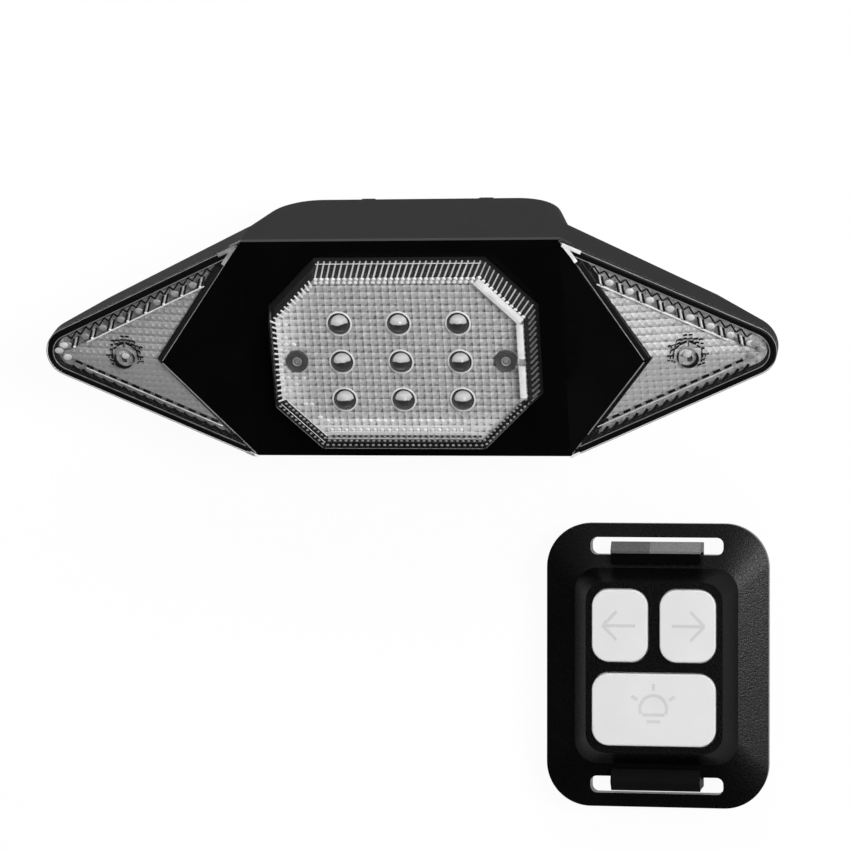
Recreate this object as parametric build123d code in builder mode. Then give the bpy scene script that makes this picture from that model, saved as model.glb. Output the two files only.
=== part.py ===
from build123d import *
import os
from math import acos, asin, atan2, cos, hypot, pi, sin, sqrt, tan

os.makedirs("parts", exist_ok=True)

# Bicycle turn signal light and its handlebar remote, in millimetres.
# Each of the two is modelled in its own frame, x to its right, y to its top, z out of its face,
# and is laid on its back on the ground at the end, the way the pair is seen.

# Sizes of the light's face
face_half_width = 37.3
face_half_height = 26.8
wing_turn = 0.4363
tip_radius = 6.2
notch_share = 0.72
notch_rise = 7.8
bezel_thickness = 1.6
bezel_tuck = 1.5

# Sizes of the housing
shell_wall = 2.0
hump_depth = 31.4
hump_side_step = 1.1
hump_lean = 0.287
hump_corner_radius = 12.0
wing_root_depth = 11.1
wing_knee_reach = 14.0
wing_knee_depth = 7.4
wing_tip_depth = 2.4
back_edge_radius = 1.6
deck_to_back = 14.8
deck_thickness = 1.6
bay_wall = 1.8
cut_overrun = 1.0

# Sizes of the wing lenses and what is under them
wing_flange_width = 1.7
wing_flange_thickness = 1.5
wing_bevel_reach = 5.1
wing_bevel_top = 3.65
wing_lens_wall = 1.1
wing_seat_wall = 0.9
reflector_thickness = 1.0
reflector_clearance = 0.4
wing_lamp_share = 0.503
wing_lamp_level = 2.1
wing_board_length = 13.0
wing_board_shift = 3.2
wing_board_width = 8.4
wing_peg_radius = 0.9

# Sizes of the middle lens
lens_side_margin = 5.6
lens_end_margin = 4.1
lens_corner_cut = 11.7
lens_height = 10.4
lens_draft_inset = 2.0
lens_wall = 1.2
lens_flange_reach = 1.6
lens_flange_thickness = 1.2
lens_fit = 0.15
well_radius = 3.6
well_wall = 0.9
well_floor = 2.0
well_floor_level = 4.6

# Lamps, 5 mm round with a collar
lamp_radius = 2.45
lamp_shoulder = 6.1
lamp_collar_radius = 2.9
lamp_collar_height = 1.0
lamp_pitch_x = 13.9
lamp_pitch_y = 9.4
lamp_row_drop = 0.4
lamp_level = 6.5
lamp_hole_clearance = 0.3
tray_level = 6.2
tray_wall = 1.0
tray_clearance = 0.3
skirt_wall = 0.7
skirt_height = 2.6

# Boards
board_thickness = 1.6
thin_board_thickness = 1.2
control_side_margin = 6.3
control_above_deck = 4.2
chip_size = 7.0
chip_height = 1.0
radio_length = 16.0
radio_width = 11.0
radio_height = 2.0
standoff_radius = 2.2
standoff_reach_x = 17.0
standoff_reach_y = 15.0

# Screws
face_screw_margin = 12.8
face_screw_drop = 0.3
face_screw_head_radius = 2.6
face_screw_head_height = 2.0
face_screw_shank_radius = 1.4
face_screw_length = 15.0
screw_slot_width = 0.7
screw_slot_depth = 0.8
screw_slot_length = 3.0
pillar_radius = 3.25
bezel_screw_reach = 8.7
bezel_screw_y = 6.2
bezel_screw_head_radius = 2.0
bezel_screw_head_height = 1.4
bezel_screw_shank_radius = 1.1
bezel_screw_length = 9.0
bezel_pillar_radius = 3.0
screw_clearance = 0.2
head_clearance = 0.25

# Battery bay at the back
cell_radius = 5.25
cell_length = 44.5
cell_button_radius = 1.9
cell_button_height = 0.8
cell_clearance = 0.1
contact_thickness = 0.4
contact_spring_length = 1.6
contact_spring_radius = 3.2
contact_half_height = 4.4
bay_end_clearance = 0.1
bay_floor_gap = 2.4
cover_overlap_x = 4.2
cover_overlap_y = 1.5
cover_fit = 0.15
bay_seal_width = 0.9
bay_seal_thickness = 0.8
bay_seal_offset = 0.3
cover_screw_inset = 1.9
cover_screw_head_radius = 1.5
cover_screw_head_height = 0.8
cover_screw_sink = 0.5
cover_screw_shank_radius = 0.8
cover_screw_length = 5.0

# Power button on the underside
power_radius = 4.8
power_level = -9.5
power_proud = 1.1
power_clearance = 0.3
power_travel = 0.8
power_flange_radius = 6.4
power_flange_thickness = 0.9
power_flange_gap = 0.2
power_dome_radius = 0.8
switch_half_width = 3.0
switch_length = 3.6
switch_height = 5.2
switch_plunger_radius = 1.5
switch_plunger_length = 0.6
switch_gap = 0.15

# Saddle for the seat post
post_radius = 13.6
post_pad_thickness = 1.5
saddle_half_width = 16.0
saddle_length = 26.0
saddle_top_margin = 3.2
saddle_height = 9.5
post_center_beyond = 7.2
saddle_edge_radius = 0.8
saddle_chamfer = 2.2
saddle_chamfer_height = 4.5
post_pad_inset = 1.0
hook_reach = 3.6
hook_thickness = 1.5
hook_arm_thickness = 1.8
hook_lip_height = 2.8
hook_base_gap = 2.4
hook_half_length = 5.5
saddle_screw_inset = 7.0
saddle_screw_head_radius = 2.3
saddle_screw_head_height = 1.0
saddle_screw_shank_radius = 1.3
saddle_screw_length = 7.0
saddle_boss_radius = 3.0
saddle_boss_height = 5.0

# Sizes of the remote
remote_x = 56.0
remote_y = -74.75
remote_half_width = 26.4
remote_half_height = 33.7
remote_corner_radius = 10.5
remote_split_level = 1.6
remote_rim_level = 3.4
flange_width = 7.0
flange_height = 10.5
shoulder_level = 5.5
shoulder_radius = 5.5
slope_width = 3.2
slope_height = 3.0
top_level = 10.6
top_radius = 4.6
top_wall = 1.6
remote_wall = 1.7
strap_slot_half_width = 15.8
strap_slot_height = 4.1
strap_bridge = 3.3
strap_slot_radius = 1.6

# Buttons of the remote
button_side_margin = 1.6
button_gap_half = 1.4
button_top_margin = 1.8
button_low_y = 1.35
button_radius = 4.0
button_proud = 0.9
button_clearance = 0.25
button_flange_reach = 0.75
button_flange_thickness = 0.9
button_flange_gap = 0.2
button_travel = 0.7
button_edge_radius = 0.4
stem_radius = 2.0
stem_length = 0.3
stem_gap = 0.15

# Inside of the remote
coin_radius = 10.0
coin_thickness = 3.2
coin_edge_radius = 0.4
clip_wall = 1.0
clip_clearance = 0.2
clip_height = 2.6
clip_opening = 12.0
remote_board_gap = 0.3
remote_board_thickness = 1.0
remote_board_clearance = 0.5
key_half_width = 2.6
remote_screw_x = 22.4
remote_screw_y = 14.5
remote_screw_head_radius = 1.9
remote_screw_head_height = 0.9
remote_screw_shank_radius = 0.9
remote_screw_length = 3.4
remote_seal_width = 0.9
remote_seal_thickness = 0.7
remote_seal_offset = 0.5

# Bracket for the handlebar
bar_radius = 15.9
bar_pad_thickness = 1.2
bracket_drop = 10.1
bracket_plate = 2.0
bracket_half_length = 10.6
bracket_saddle_half_width = 17.2
bar_pad_inset = 0.6
bracket_edge_radius = 0.6
latch_side_gap = 0.6
latch_thickness = 2.2
latch_ridge_level = 8.3
latch_ridge_step = 0.4
latch_overhang = 0.4
latch_slope_level = 6.4
latch_nose_reach = 2.0
latch_nose_level = 5.9
latch_nose_root = 6.9

# Values that follow from the sizes above
face_screw_x = face_half_width - face_screw_margin
deck_depth = hump_depth - deck_to_back
control_level = control_above_deck - deck_depth
cover_inner_depth = hump_depth - shell_wall
wing_length = face_half_height / tan(wing_turn)
notch_x = face_half_width + notch_share * face_half_height
corner_x = face_half_width + wing_length
wing_lamp_reach = wing_lamp_share * wing_length
lens_half_width = face_half_width - lens_side_margin
lens_half_height = face_half_height - lens_end_margin
control_half_width = face_half_width - control_side_margin
control_half_height = face_half_height - control_side_margin
hump_half_width = face_half_width + hump_side_step
saddle_top = face_half_height - saddle_top_margin
saddle_bottom = saddle_top - saddle_length
tip_center_x = corner_x - tip_radius / sin(wing_turn)
tip_x = tip_center_x + tip_radius
hump_back_half = hump_half_width - (hump_depth - wing_root_depth) * tan(hump_lean)
notch_to_edge = (corner_x - notch_x) * sin(wing_turn)
facet_slope = (notch_rise - wing_bevel_top) / (notch_to_edge - wing_bevel_reach)
facet_normal_x = facet_slope * sin(wing_turn)
facet_normal_y = facet_slope * cos(wing_turn)
facet_drop = wing_lens_wall * sqrt(1 + facet_slope**2)
saddle_plane = -hump_depth
saddle_rear = -hump_depth - saddle_height
post_center_z = saddle_rear - post_center_beyond
post_groove_radius = post_radius + post_pad_thickness
lens_board_top = lamp_level - lamp_shoulder
lens_board_bottom = lens_board_top - board_thickness
lens_draft = atan2(lens_draft_inset, lens_height) * 180 / pi
bay_half_length = cell_length / 2 + contact_spring_length + contact_thickness + bay_end_clearance
bay_top = -bay_floor_gap - cell_clearance
bay_height = 4 * cell_radius + 4 * cell_clearance
bay_bottom = bay_top - bay_height
cell_rows = (bay_top - cell_clearance - cell_radius, bay_bottom + cell_clearance + cell_radius)
cell_level = -cover_inner_depth + cell_clearance + cell_radius
bay_ceiling = -deck_depth - deck_thickness
cover_half_length = bay_half_length + cover_overlap_x
cover_top = bay_top + cover_overlap_y
cover_bottom = bay_bottom - cover_overlap_y
cover_center_y = (cover_top + cover_bottom) / 2
cover_height = cover_top - cover_bottom
bay_center_y = (bay_top + bay_bottom) / 2
cover_screw_x = cover_half_length - cover_screw_inset
strap_slot_end = remote_half_height - strap_bridge
strap_slot_start = strap_slot_end - strap_slot_height
shoulder_half_width = remote_half_width - flange_width
shoulder_half_height = remote_half_height - flange_height
top_half_width = shoulder_half_width - slope_width
top_half_height = shoulder_half_height - slope_height
button_side = top_half_width - button_side_margin
button_top_y = top_half_height - button_top_margin
latch_inner = strap_slot_start + latch_side_gap
latch_ridge_y = latch_inner + latch_ridge_step
bracket_half_width = latch_inner + latch_thickness
latch_slope_y = bracket_half_width + latch_overhang
latch_nose_y = strap_slot_start - latch_nose_reach


# Flat outlines
def wing_face(inset):
    """Right wing as a triangle with a round tip, its two long edges moved inwards by inset"""
    reach = corner_x - inset / sin(wing_turn)
    side = (reach - face_half_width) * tan(wing_turn)
    with BuildSketch() as face:
        with BuildLine():
            Polyline(
                (face_half_width, side),
                (reach, 0),
                (face_half_width, -side),
                close=True,
            )
        make_face()
        fillet(face.vertices().sort_by(Axis.X)[-1], tip_radius - inset)
    return face.sketch


def notch_face(growth):
    """Triangle between the two arms of the right arrow head, its sides moved outwards by growth"""
    with BuildSketch() as face:
        with BuildLine():
            Polyline(
                (face_half_width, face_half_height),
                (notch_x, 0),
                (face_half_width, -face_half_height),
                close=True,
            )
        make_face()
        if growth:
            offset(amount=growth, kind=Kind.INTERSECTION)
    return face.sketch


def octagon_face(inset):
    """Eight-sided outline of the middle lens, moved inwards by inset"""
    with BuildSketch() as face:
        Rectangle(2 * (lens_half_width - inset), 2 * (lens_half_height - inset))
        chamfer(face.vertices(), lens_corner_cut - inset * (2 - sqrt(2)))
    return face.sketch


def rounded_face(half_width, half_height, radius):
    """Rectangle with round corners"""
    with BuildSketch() as face:
        RectangleRounded(2 * half_width, 2 * half_height, radius)
    return face.sketch


with BuildSketch() as face_outline:
    with BuildLine():
        Polyline(
            (face_half_width, face_half_height),
            (corner_x, 0),
            (face_half_width, -face_half_height),
            (-face_half_width, -face_half_height),
            (-corner_x, 0),
            (-face_half_width, face_half_height),
            close=True,
        )
    make_face()
    fillet(face_outline.vertices().sort_by(Axis.X)[-1], tip_radius)
    fillet(face_outline.vertices().sort_by(Axis.X)[0], tip_radius)

wing_side = [
    (hump_half_width, -wing_root_depth),
    (tip_x - wing_knee_reach, -wing_knee_depth),
    (tip_x, -wing_tip_depth),
    (tip_x + shell_wall, 0),
]
with BuildSketch() as plan_outline:
    with BuildLine():
        room_side = [
            (hump_back_half, -hump_depth),
            *wing_side,
            (tip_x + shell_wall, hump_depth),
        ]
        Polyline(*room_side, *[(-x, z) for x, z in reversed(room_side)], close=True)
    make_face()
    fillet(plan_outline.vertices().group_by(Axis.Y)[0], hump_corner_radius)

bezel_tuck_face = notch_face(bezel_tuck)
with BuildSketch() as bezel_outline:
    Rectangle(2 * face_half_width, 2 * face_half_height)
    add(bezel_tuck_face)
    mirror(bezel_tuck_face, about=Plane.YZ)
    add(face_outline.sketch, mode=Mode.INTERSECT)

wing_flange_face = wing_face(0)
wing_seat_face = wing_face(wing_flange_width)
wing_shoulder_face = wing_face(wing_bevel_reach)
wing_notch_face = notch_face(0)
wing_inner_notch_face = notch_face(wing_lens_wall)


# Wing lens body: a slope round the edge and two facets that meet in a ridge
def wing_roof(seat_face, seat_level, shoulder_face, shoulder_at, apex_level, gap_face):
    with BuildPart() as roof:
        with BuildSketch(Plane.XY.offset(seat_level)):
            add(seat_face)
        with BuildSketch(Plane.XY.offset(shoulder_at)):
            add(shoulder_face)
        loft(ruled=True)
        with BuildSketch(Plane.XY.offset(shoulder_at)):
            add(shoulder_face)
        extrude(amount=notch_rise)
        for side in (1, -1):
            facet = Plane(
                origin=(notch_x, 0, apex_level),
                z_dir=(facet_normal_x, side * facet_normal_y, 1),
            )
            split(bisect_by=facet, keep=Keep.BOTTOM)
        with BuildSketch(Plane.XY.offset(seat_level - cut_overrun)):
            add(gap_face)
        extrude(amount=2 * notch_rise, mode=Mode.SUBTRACT)
    return roof.part


inner_shoulder_inset = wing_bevel_reach + wing_lens_wall / 2
inner_shoulder_level = wing_bevel_top - wing_lens_wall
wing_cavity_seat_face = wing_face(wing_flange_width + wing_seat_wall)
wing_cavity_shoulder_face = wing_face(inner_shoulder_inset)
wing_top = wing_roof(
    wing_seat_face,
    wing_flange_thickness,
    wing_shoulder_face,
    wing_bevel_top,
    notch_rise,
    wing_notch_face,
)
wing_cavity = wing_roof(
    wing_cavity_seat_face,
    0,
    wing_cavity_shoulder_face,
    inner_shoulder_level,
    notch_rise - facet_drop,
    wing_inner_notch_face,
)

with BuildPart() as right_wing_lens:
    with BuildSketch():
        add(wing_flange_face)
        add(wing_notch_face, mode=Mode.SUBTRACT)
    extrude(amount=wing_flange_thickness)
    add(wing_top)
    add(wing_cavity, mode=Mode.SUBTRACT)
right_wing_lens.part.label = "right_wing_lens"

with BuildPart() as left_wing_lens:
    mirror(right_wing_lens.part, about=Plane.YZ)
left_wing_lens.part.label = "left_wing_lens"

# Gloss face plate with a ramp at each end that climbs to the apex of the arrow's notch
with BuildPart() as ramp:
    with BuildSketch():
        add(wing_notch_face)
    extrude(amount=notch_rise)
    ramp_plane = Plane(
        origin=(face_half_width, 0, 0),
        z_dir=(-notch_rise, 0, notch_x - face_half_width),
    )
    split(bisect_by=ramp_plane, keep=Keep.BOTTOM)

lens_opening_face = octagon_face(-lens_fit)
with BuildPart() as front_bezel:
    with BuildSketch(Plane.XY.offset(-bezel_thickness)):
        add(bezel_outline.sketch)
        add(lens_opening_face, mode=Mode.SUBTRACT)
    extrude(amount=bezel_thickness)
    add(ramp.part)
    mirror(ramp.part, about=Plane.YZ)
    bezel_screw_places = [
        (side * (face_half_width + bezel_screw_reach), row * bezel_screw_y)
        for side in (1, -1)
        for row in (1, -1)
    ]
    with Locations(*[(x, y, -bezel_thickness) for x, y in bezel_screw_places]):
        Cylinder(
            bezel_screw_shank_radius,
            bezel_thickness + cut_overrun,
            align=(Align.CENTER, Align.CENTER, Align.MIN),
            mode=Mode.SUBTRACT,
        )
front_bezel.part.label = "front_bezel"

# Housing: a hump with soft back edges and two thin wings, both trimmed to the face outline
hump_front_half = hump_half_width + wing_root_depth * tan(hump_lean)
with BuildPart() as housing_body:
    with BuildSketch(Plane.XZ) as hump_outline:
        with BuildLine():
            Polyline(
                (hump_back_half, -hump_depth),
                (hump_front_half, 0),
                (-hump_front_half, 0),
                (-hump_back_half, -hump_depth),
                close=True,
            )
        make_face()
        fillet(hump_outline.vertices().group_by(Axis.Y)[0], hump_corner_radius)
    extrude(amount=face_half_height, both=True)
    end_edges = housing_body.faces().filter_by(Axis.Y).edges()
    fillet(end_edges.filter_by(lambda e: e.center().Z < -back_edge_radius), back_edge_radius)
    with BuildSketch(Plane.XZ):
        with BuildLine():
            Polyline(*wing_side, *[(-x, z) for x, z in reversed(wing_side)], close=True)
        make_face()
    extrude(amount=face_half_height, both=True)
    with BuildSketch():
        add(face_outline.sketch)
    extrude(amount=-hump_depth, mode=Mode.INTERSECT)

with BuildPart() as housing_cavity:
    with BuildSketch(Plane.XY.offset(cut_overrun)):
        add(face_outline.sketch)
        offset(amount=-shell_wall, kind=Kind.INTERSECTION)
    extrude(amount=-hump_depth - cut_overrun)
    with BuildSketch(Plane.XZ):
        add(plan_outline.sketch)
        offset(amount=-shell_wall, kind=Kind.INTERSECTION)
    extrude(amount=face_half_height, both=True, mode=Mode.INTERSECT)
    with BuildSketch(Plane.XY.offset(-deck_depth)):
        with Locations((0, bay_top + bay_wall)):
            Rectangle(
                2 * tip_x,
                2 * face_half_height,
                align=(Align.CENTER, Align.MAX),
            )
    extrude(amount=-hump_depth, mode=Mode.SUBTRACT)

wing_floor_level = -wing_knee_depth
wing_board_top = wing_lamp_level - lamp_shoulder
wing_board_bottom = wing_board_top - thin_board_thickness
wing_lamp_x = face_half_width + wing_lamp_reach
wing_board_x = wing_lamp_x - wing_board_shift
saddle_screw_rows = (saddle_bottom + saddle_screw_inset, saddle_top - saddle_screw_inset)
standoff_level = control_level - board_thickness
face_screw_y = -face_screw_drop
cover_plate_face = rounded_face(cover_half_length, cover_height / 2, back_edge_radius)
cover_seat_face = rounded_face(
    cover_half_length + cover_fit, cover_height / 2 + cover_fit, back_edge_radius
)
seal_outer_half = bay_half_length + bay_seal_offset + bay_seal_width
seal_outer_face = rounded_face(
    seal_outer_half, bay_height / 2 + bay_seal_offset + bay_seal_width, back_edge_radius
)
seal_inner_face = rounded_face(
    bay_half_length + bay_seal_offset, bay_height / 2 + bay_seal_offset, bay_seal_width
)

with BuildPart() as rear_housing:
    add(housing_body.part)
    add(housing_cavity.part, mode=Mode.SUBTRACT)
    # pillars for the two screws in the face, on the back wall
    with BuildSketch(Plane.XY.offset(-hump_depth + shell_wall / 2)):
        with Locations((face_screw_x, face_screw_y), (-face_screw_x, face_screw_y)):
            Circle(pillar_radius)
    extrude(amount=hump_depth - shell_wall / 2 + lens_board_bottom)
    # pillars for the four screws of the face plate, in the wings
    with BuildSketch(Plane.XY.offset(-wing_root_depth + shell_wall)):
        with Locations(*bezel_screw_places):
            Circle(bezel_pillar_radius)
    extrude(amount=wing_root_depth - shell_wall - bezel_thickness)
    # posts under the wing boards
    with BuildSketch(Plane.XY.offset(wing_floor_level)):
        for side in (1, -1):
            with Locations(
                (side * (wing_board_x - wing_board_length / 3), 0),
                (side * (wing_board_x + wing_board_length / 3), 0),
            ):
                Circle(standoff_radius)
    extrude(amount=wing_board_bottom - wing_floor_level)
    # posts under the control board and bosses behind the saddle
    with BuildSketch(Plane.XY.offset(-deck_depth - deck_thickness / 2)):
        with Locations((standoff_reach_x, -standoff_reach_y), (-standoff_reach_x, -standoff_reach_y)):
            Circle(standoff_radius)
    extrude(amount=deck_depth + deck_thickness / 2 + standoff_level)
    with BuildSketch(Plane.XY.offset(-hump_depth + shell_wall / 2)):
        with Locations((standoff_reach_x, standoff_reach_y), (-standoff_reach_x, standoff_reach_y)):
            Circle(standoff_radius)
    extrude(amount=hump_depth - shell_wall / 2 + standoff_level)
    with BuildSketch(Plane.XY.offset(-hump_depth + shell_wall / 2)):
        with Locations(*[(0, y) for y in saddle_screw_rows]):
            Circle(saddle_boss_radius)
    extrude(amount=shell_wall / 2 + saddle_boss_height)
    # seat for the face plate
    with BuildSketch(Plane.XY.offset(-bezel_thickness)):
        add(bezel_outline.sketch)
    extrude(amount=bezel_thickness + cut_overrun, mode=Mode.SUBTRACT)
    # battery bay, seal groove and cover seat, open to the back
    with BuildSketch(Plane.XY.offset(bay_ceiling)):
        with Locations((0, bay_center_y)):
            Rectangle(2 * bay_half_length, bay_height)
    extrude(amount=-hump_depth, mode=Mode.SUBTRACT)
    with BuildSketch(Plane.XY.offset(-cover_inner_depth)):
        with Locations((0, cover_center_y)):
            add(cover_seat_face)
    extrude(amount=-hump_depth, mode=Mode.SUBTRACT)
    with BuildSketch(Plane.XY.offset(-cover_inner_depth + bay_seal_thickness)):
        with Locations((0, bay_center_y)):
            add(seal_outer_face)
    extrude(amount=-bay_seal_thickness, mode=Mode.SUBTRACT)
    # screw holes
    with Locations(*[(side * face_screw_x, face_screw_y, lens_board_bottom) for side in (1, -1)]):
        Hole(face_screw_shank_radius, face_screw_length)
    with Locations(*[(x, y, -bezel_thickness) for x, y in bezel_screw_places]):
        Hole(bezel_screw_shank_radius + screw_clearance, wing_root_depth)
    with Locations(
        *[
            Location((x, y, -bezel_screw_length), (180, 0, 0))
            for x, y in bezel_screw_places
        ]
    ):
        Cylinder(
            bezel_screw_head_radius + head_clearance,
            wing_root_depth,
            align=(Align.CENTER, Align.CENTER, Align.MIN),
            mode=Mode.SUBTRACT,
        )
    with Locations(
        *[
            Location((side * cover_screw_x, cover_center_y, -cover_inner_depth), (180, 0, 0))
            for side in (1, -1)
        ]
    ):
        Hole(cover_screw_shank_radius, cover_screw_length)
    with Locations(*[Location((0, y, -hump_depth), (180, 0, 0)) for y in saddle_screw_rows]):
        Hole(saddle_screw_shank_radius, saddle_screw_length)
    # power button mouth in the underside
    with Locations(Location((0, -face_half_height - cut_overrun, power_level), (-90, 0, 0))):
        Cylinder(
            power_radius + power_clearance,
            shell_wall + 2 * cut_overrun,
            align=(Align.CENTER, Align.CENTER, Align.MIN),
            mode=Mode.SUBTRACT,
        )
rear_housing.part.label = "rear_housing"

# Middle lens: an eight-sided cap with a flange behind the face plate and two screw wells
lens_flange_face = octagon_face(-lens_flange_reach)
lens_base_face = octagon_face(0)
lens_inner_face = octagon_face(lens_wall)
lens_top_face = octagon_face(lens_draft_inset)
lens_inner_top_face = octagon_face(lens_draft_inset + lens_wall - lens_wall * tan(lens_draft * pi / 180))
flange_level = -bezel_thickness - lens_flange_thickness
face_screw_places = [(side * face_screw_x, face_screw_y) for side in (1, -1)]
with BuildPart() as lens_cavity:
    with BuildSketch(Plane.XY.offset(flange_level)):
        add(lens_inner_face)
    extrude(amount=-flange_level)
    with BuildSketch():
        add(lens_inner_face)
    with BuildSketch(Plane.XY.offset(lens_height - lens_wall)):
        add(lens_inner_top_face)
    loft(ruled=True)

with BuildPart() as center_lens:
    with BuildSketch(Plane.XY.offset(flange_level)):
        add(lens_flange_face)
    extrude(amount=lens_flange_thickness)
    with BuildSketch(Plane.XY.offset(-bezel_thickness)):
        add(lens_base_face)
    extrude(amount=bezel_thickness)
    with BuildSketch():
        add(lens_base_face)
    with BuildSketch(Plane.XY.offset(lens_height)):
        add(lens_top_face)
    loft(ruled=True)
    add(lens_cavity.part, mode=Mode.SUBTRACT)
    with BuildSketch(Plane.XY.offset(lens_board_top)):
        with Locations(*face_screw_places):
            Circle(well_radius)
    extrude(amount=lens_height - lens_wall / 2 - lens_board_top)
    with BuildSketch(Plane.XY.offset(well_floor_level)):
        with Locations(*face_screw_places):
            Circle(well_radius - well_wall)
    extrude(amount=lens_height, mode=Mode.SUBTRACT)
    with BuildSketch(Plane.XY.offset(lens_board_top)):
        with Locations(*face_screw_places):
            Circle(well_radius - well_wall)
    extrude(amount=well_floor_level - well_floor - lens_board_top, mode=Mode.SUBTRACT)
    with Locations(*[(x, y, well_floor_level) for x, y in face_screw_places]):
        Hole(face_screw_shank_radius + screw_clearance, 2 * well_floor)
center_lens.part.label = "center_lens"

# Board behind the middle lens, carried by the two pillars
lens_board_face = octagon_face(lens_wall + tray_clearance)
with BuildPart() as center_lamp_board:
    with BuildSketch(Plane.XY.offset(lens_board_bottom)):
        add(lens_board_face)
        with Locations(*face_screw_places):
            Circle(face_screw_shank_radius + screw_clearance, mode=Mode.SUBTRACT)
    extrude(amount=board_thickness)
center_lamp_board.part.label = "center_lamp_board"

# Nine lamps in three rows
lamp_places = [
    (column * lamp_pitch_x, -lamp_row_drop + row * lamp_pitch_y)
    for row in (1, 0, -1)
    for column in (-1, 0, 1)
]
with BuildPart() as center_lamps:
    with BuildSketch(Plane.XY.offset(lens_board_top)):
        with Locations(*lamp_places):
            Circle(lamp_collar_radius)
    extrude(amount=lamp_collar_height)
    with BuildSketch(Plane.XY.offset(lens_board_top)):
        with Locations(*lamp_places):
            Circle(lamp_radius)
    extrude(amount=lamp_shoulder)
    with Locations(*[(x, y, lamp_level) for x, y in lamp_places]):
        Sphere(lamp_radius)
center_lamps.part.label = "center_lamps"

# Bright tray round the lamps
tray_inset = lens_wall + tray_clearance
tray_foot_face = octagon_face(tray_inset)
tray_rim_face = octagon_face(tray_inset + lens_draft_inset * tray_level / lens_height)
tray_foot_inner_face = octagon_face(tray_inset + tray_wall)
tray_rim_inner_face = octagon_face(
    tray_inset + tray_wall + lens_draft_inset * tray_level / lens_height
)
with BuildPart() as tray_hollow:
    with BuildSketch(Plane.XY.offset(lens_board_top)):
        add(tray_foot_inner_face)
    with BuildSketch(Plane.XY.offset(tray_level - tray_wall)):
        add(tray_rim_inner_face)
    loft(ruled=True)

with BuildPart() as center_reflector:
    with BuildSketch(Plane.XY.offset(lens_board_top)):
        add(tray_foot_face)
    with BuildSketch(Plane.XY.offset(tray_level)):
        add(tray_rim_face)
    loft(ruled=True)
    add(tray_hollow.part, mode=Mode.SUBTRACT)
    with BuildSketch(Plane.XY.offset(tray_level - tray_wall)):
        with Locations(*lamp_places):
            Circle(lamp_radius + lamp_hole_clearance + skirt_wall)
    extrude(amount=-skirt_height)
    with BuildSketch(Plane.XY.offset(lens_board_top)):
        with Locations(*lamp_places):
            Circle(lamp_radius + lamp_hole_clearance)
        with Locations(*face_screw_places):
            Circle(well_radius + tray_clearance)
    extrude(amount=tray_level, mode=Mode.SUBTRACT)
center_reflector.part.label = "center_reflector"

# Two screws in the face
with BuildPart() as lens_screws:
    with BuildSketch(Plane.XY.offset(well_floor_level)):
        with Locations(*face_screw_places):
            Circle(face_screw_head_radius)
    extrude(amount=face_screw_head_height)
    fillet(
        lens_screws.edges().group_by(Axis.Z)[-1],
        screw_slot_width / 2,
    )
    with BuildSketch(Plane.XY.offset(well_floor_level)):
        with Locations(*face_screw_places):
            Circle(face_screw_shank_radius)
    extrude(amount=-face_screw_length)
    with BuildSketch(Plane.XY.offset(well_floor_level + face_screw_head_height)):
        with Locations(*face_screw_places):
            Rectangle(screw_slot_length, screw_slot_width)
            Rectangle(screw_slot_width, screw_slot_length)
    extrude(amount=-screw_slot_depth, mode=Mode.SUBTRACT)
lens_screws.part.label = "lens_screws"

# Wing boards, lamps and reflectors
wing_peg_x = wing_board_x - wing_board_length / 2 + 2 * wing_peg_radius
wing_peg_y = wing_board_width / 2 - 2 * wing_peg_radius
with BuildPart() as right_wing_board:
    with BuildSketch(Plane.XY.offset(wing_board_bottom)):
        with Locations((wing_board_x, 0)):
            Rectangle(wing_board_length, wing_board_width)
    extrude(amount=thin_board_thickness)
right_wing_board.part.label = "right_wing_board"

with BuildPart() as right_wing_lamp:
    with BuildSketch(Plane.XY.offset(wing_board_top)):
        with Locations((wing_lamp_x, 0)):
            Circle(lamp_collar_radius)
    extrude(amount=lamp_collar_height)
    with BuildSketch(Plane.XY.offset(wing_board_top)):
        with Locations((wing_lamp_x, 0)):
            Circle(lamp_radius)
    extrude(amount=lamp_shoulder)
    with Locations((wing_lamp_x, 0, wing_lamp_level)):
        Sphere(lamp_radius)
right_wing_lamp.part.label = "right_wing_lamp"

wing_reflector_face = wing_face(shell_wall + reflector_clearance)
wing_reflector_gap_face = notch_face(bezel_tuck + reflector_clearance)
with BuildPart() as right_wing_reflector:
    with BuildSketch(Plane.XY.offset(-reflector_thickness)):
        add(wing_reflector_face)
        add(wing_reflector_gap_face, mode=Mode.SUBTRACT)
        with Locations((wing_lamp_x, 0)):
            Circle(lamp_collar_radius + lamp_hole_clearance, mode=Mode.SUBTRACT)
    extrude(amount=reflector_thickness)
    with BuildSketch(Plane.XY.offset(-reflector_thickness)):
        with Locations((wing_peg_x, wing_peg_y), (wing_peg_x, -wing_peg_y)):
            Circle(wing_peg_radius)
    extrude(amount=wing_board_top + reflector_thickness)
right_wing_reflector.part.label = "right_wing_reflector"

with BuildPart() as left_wing_board:
    mirror(right_wing_board.part, about=Plane.YZ)
left_wing_board.part.label = "left_wing_board"

with BuildPart() as left_wing_lamp:
    mirror(right_wing_lamp.part, about=Plane.YZ)
left_wing_lamp.part.label = "left_wing_lamp"

with BuildPart() as left_wing_reflector:
    mirror(right_wing_reflector.part, about=Plane.YZ)
left_wing_reflector.part.label = "left_wing_reflector"

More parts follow.
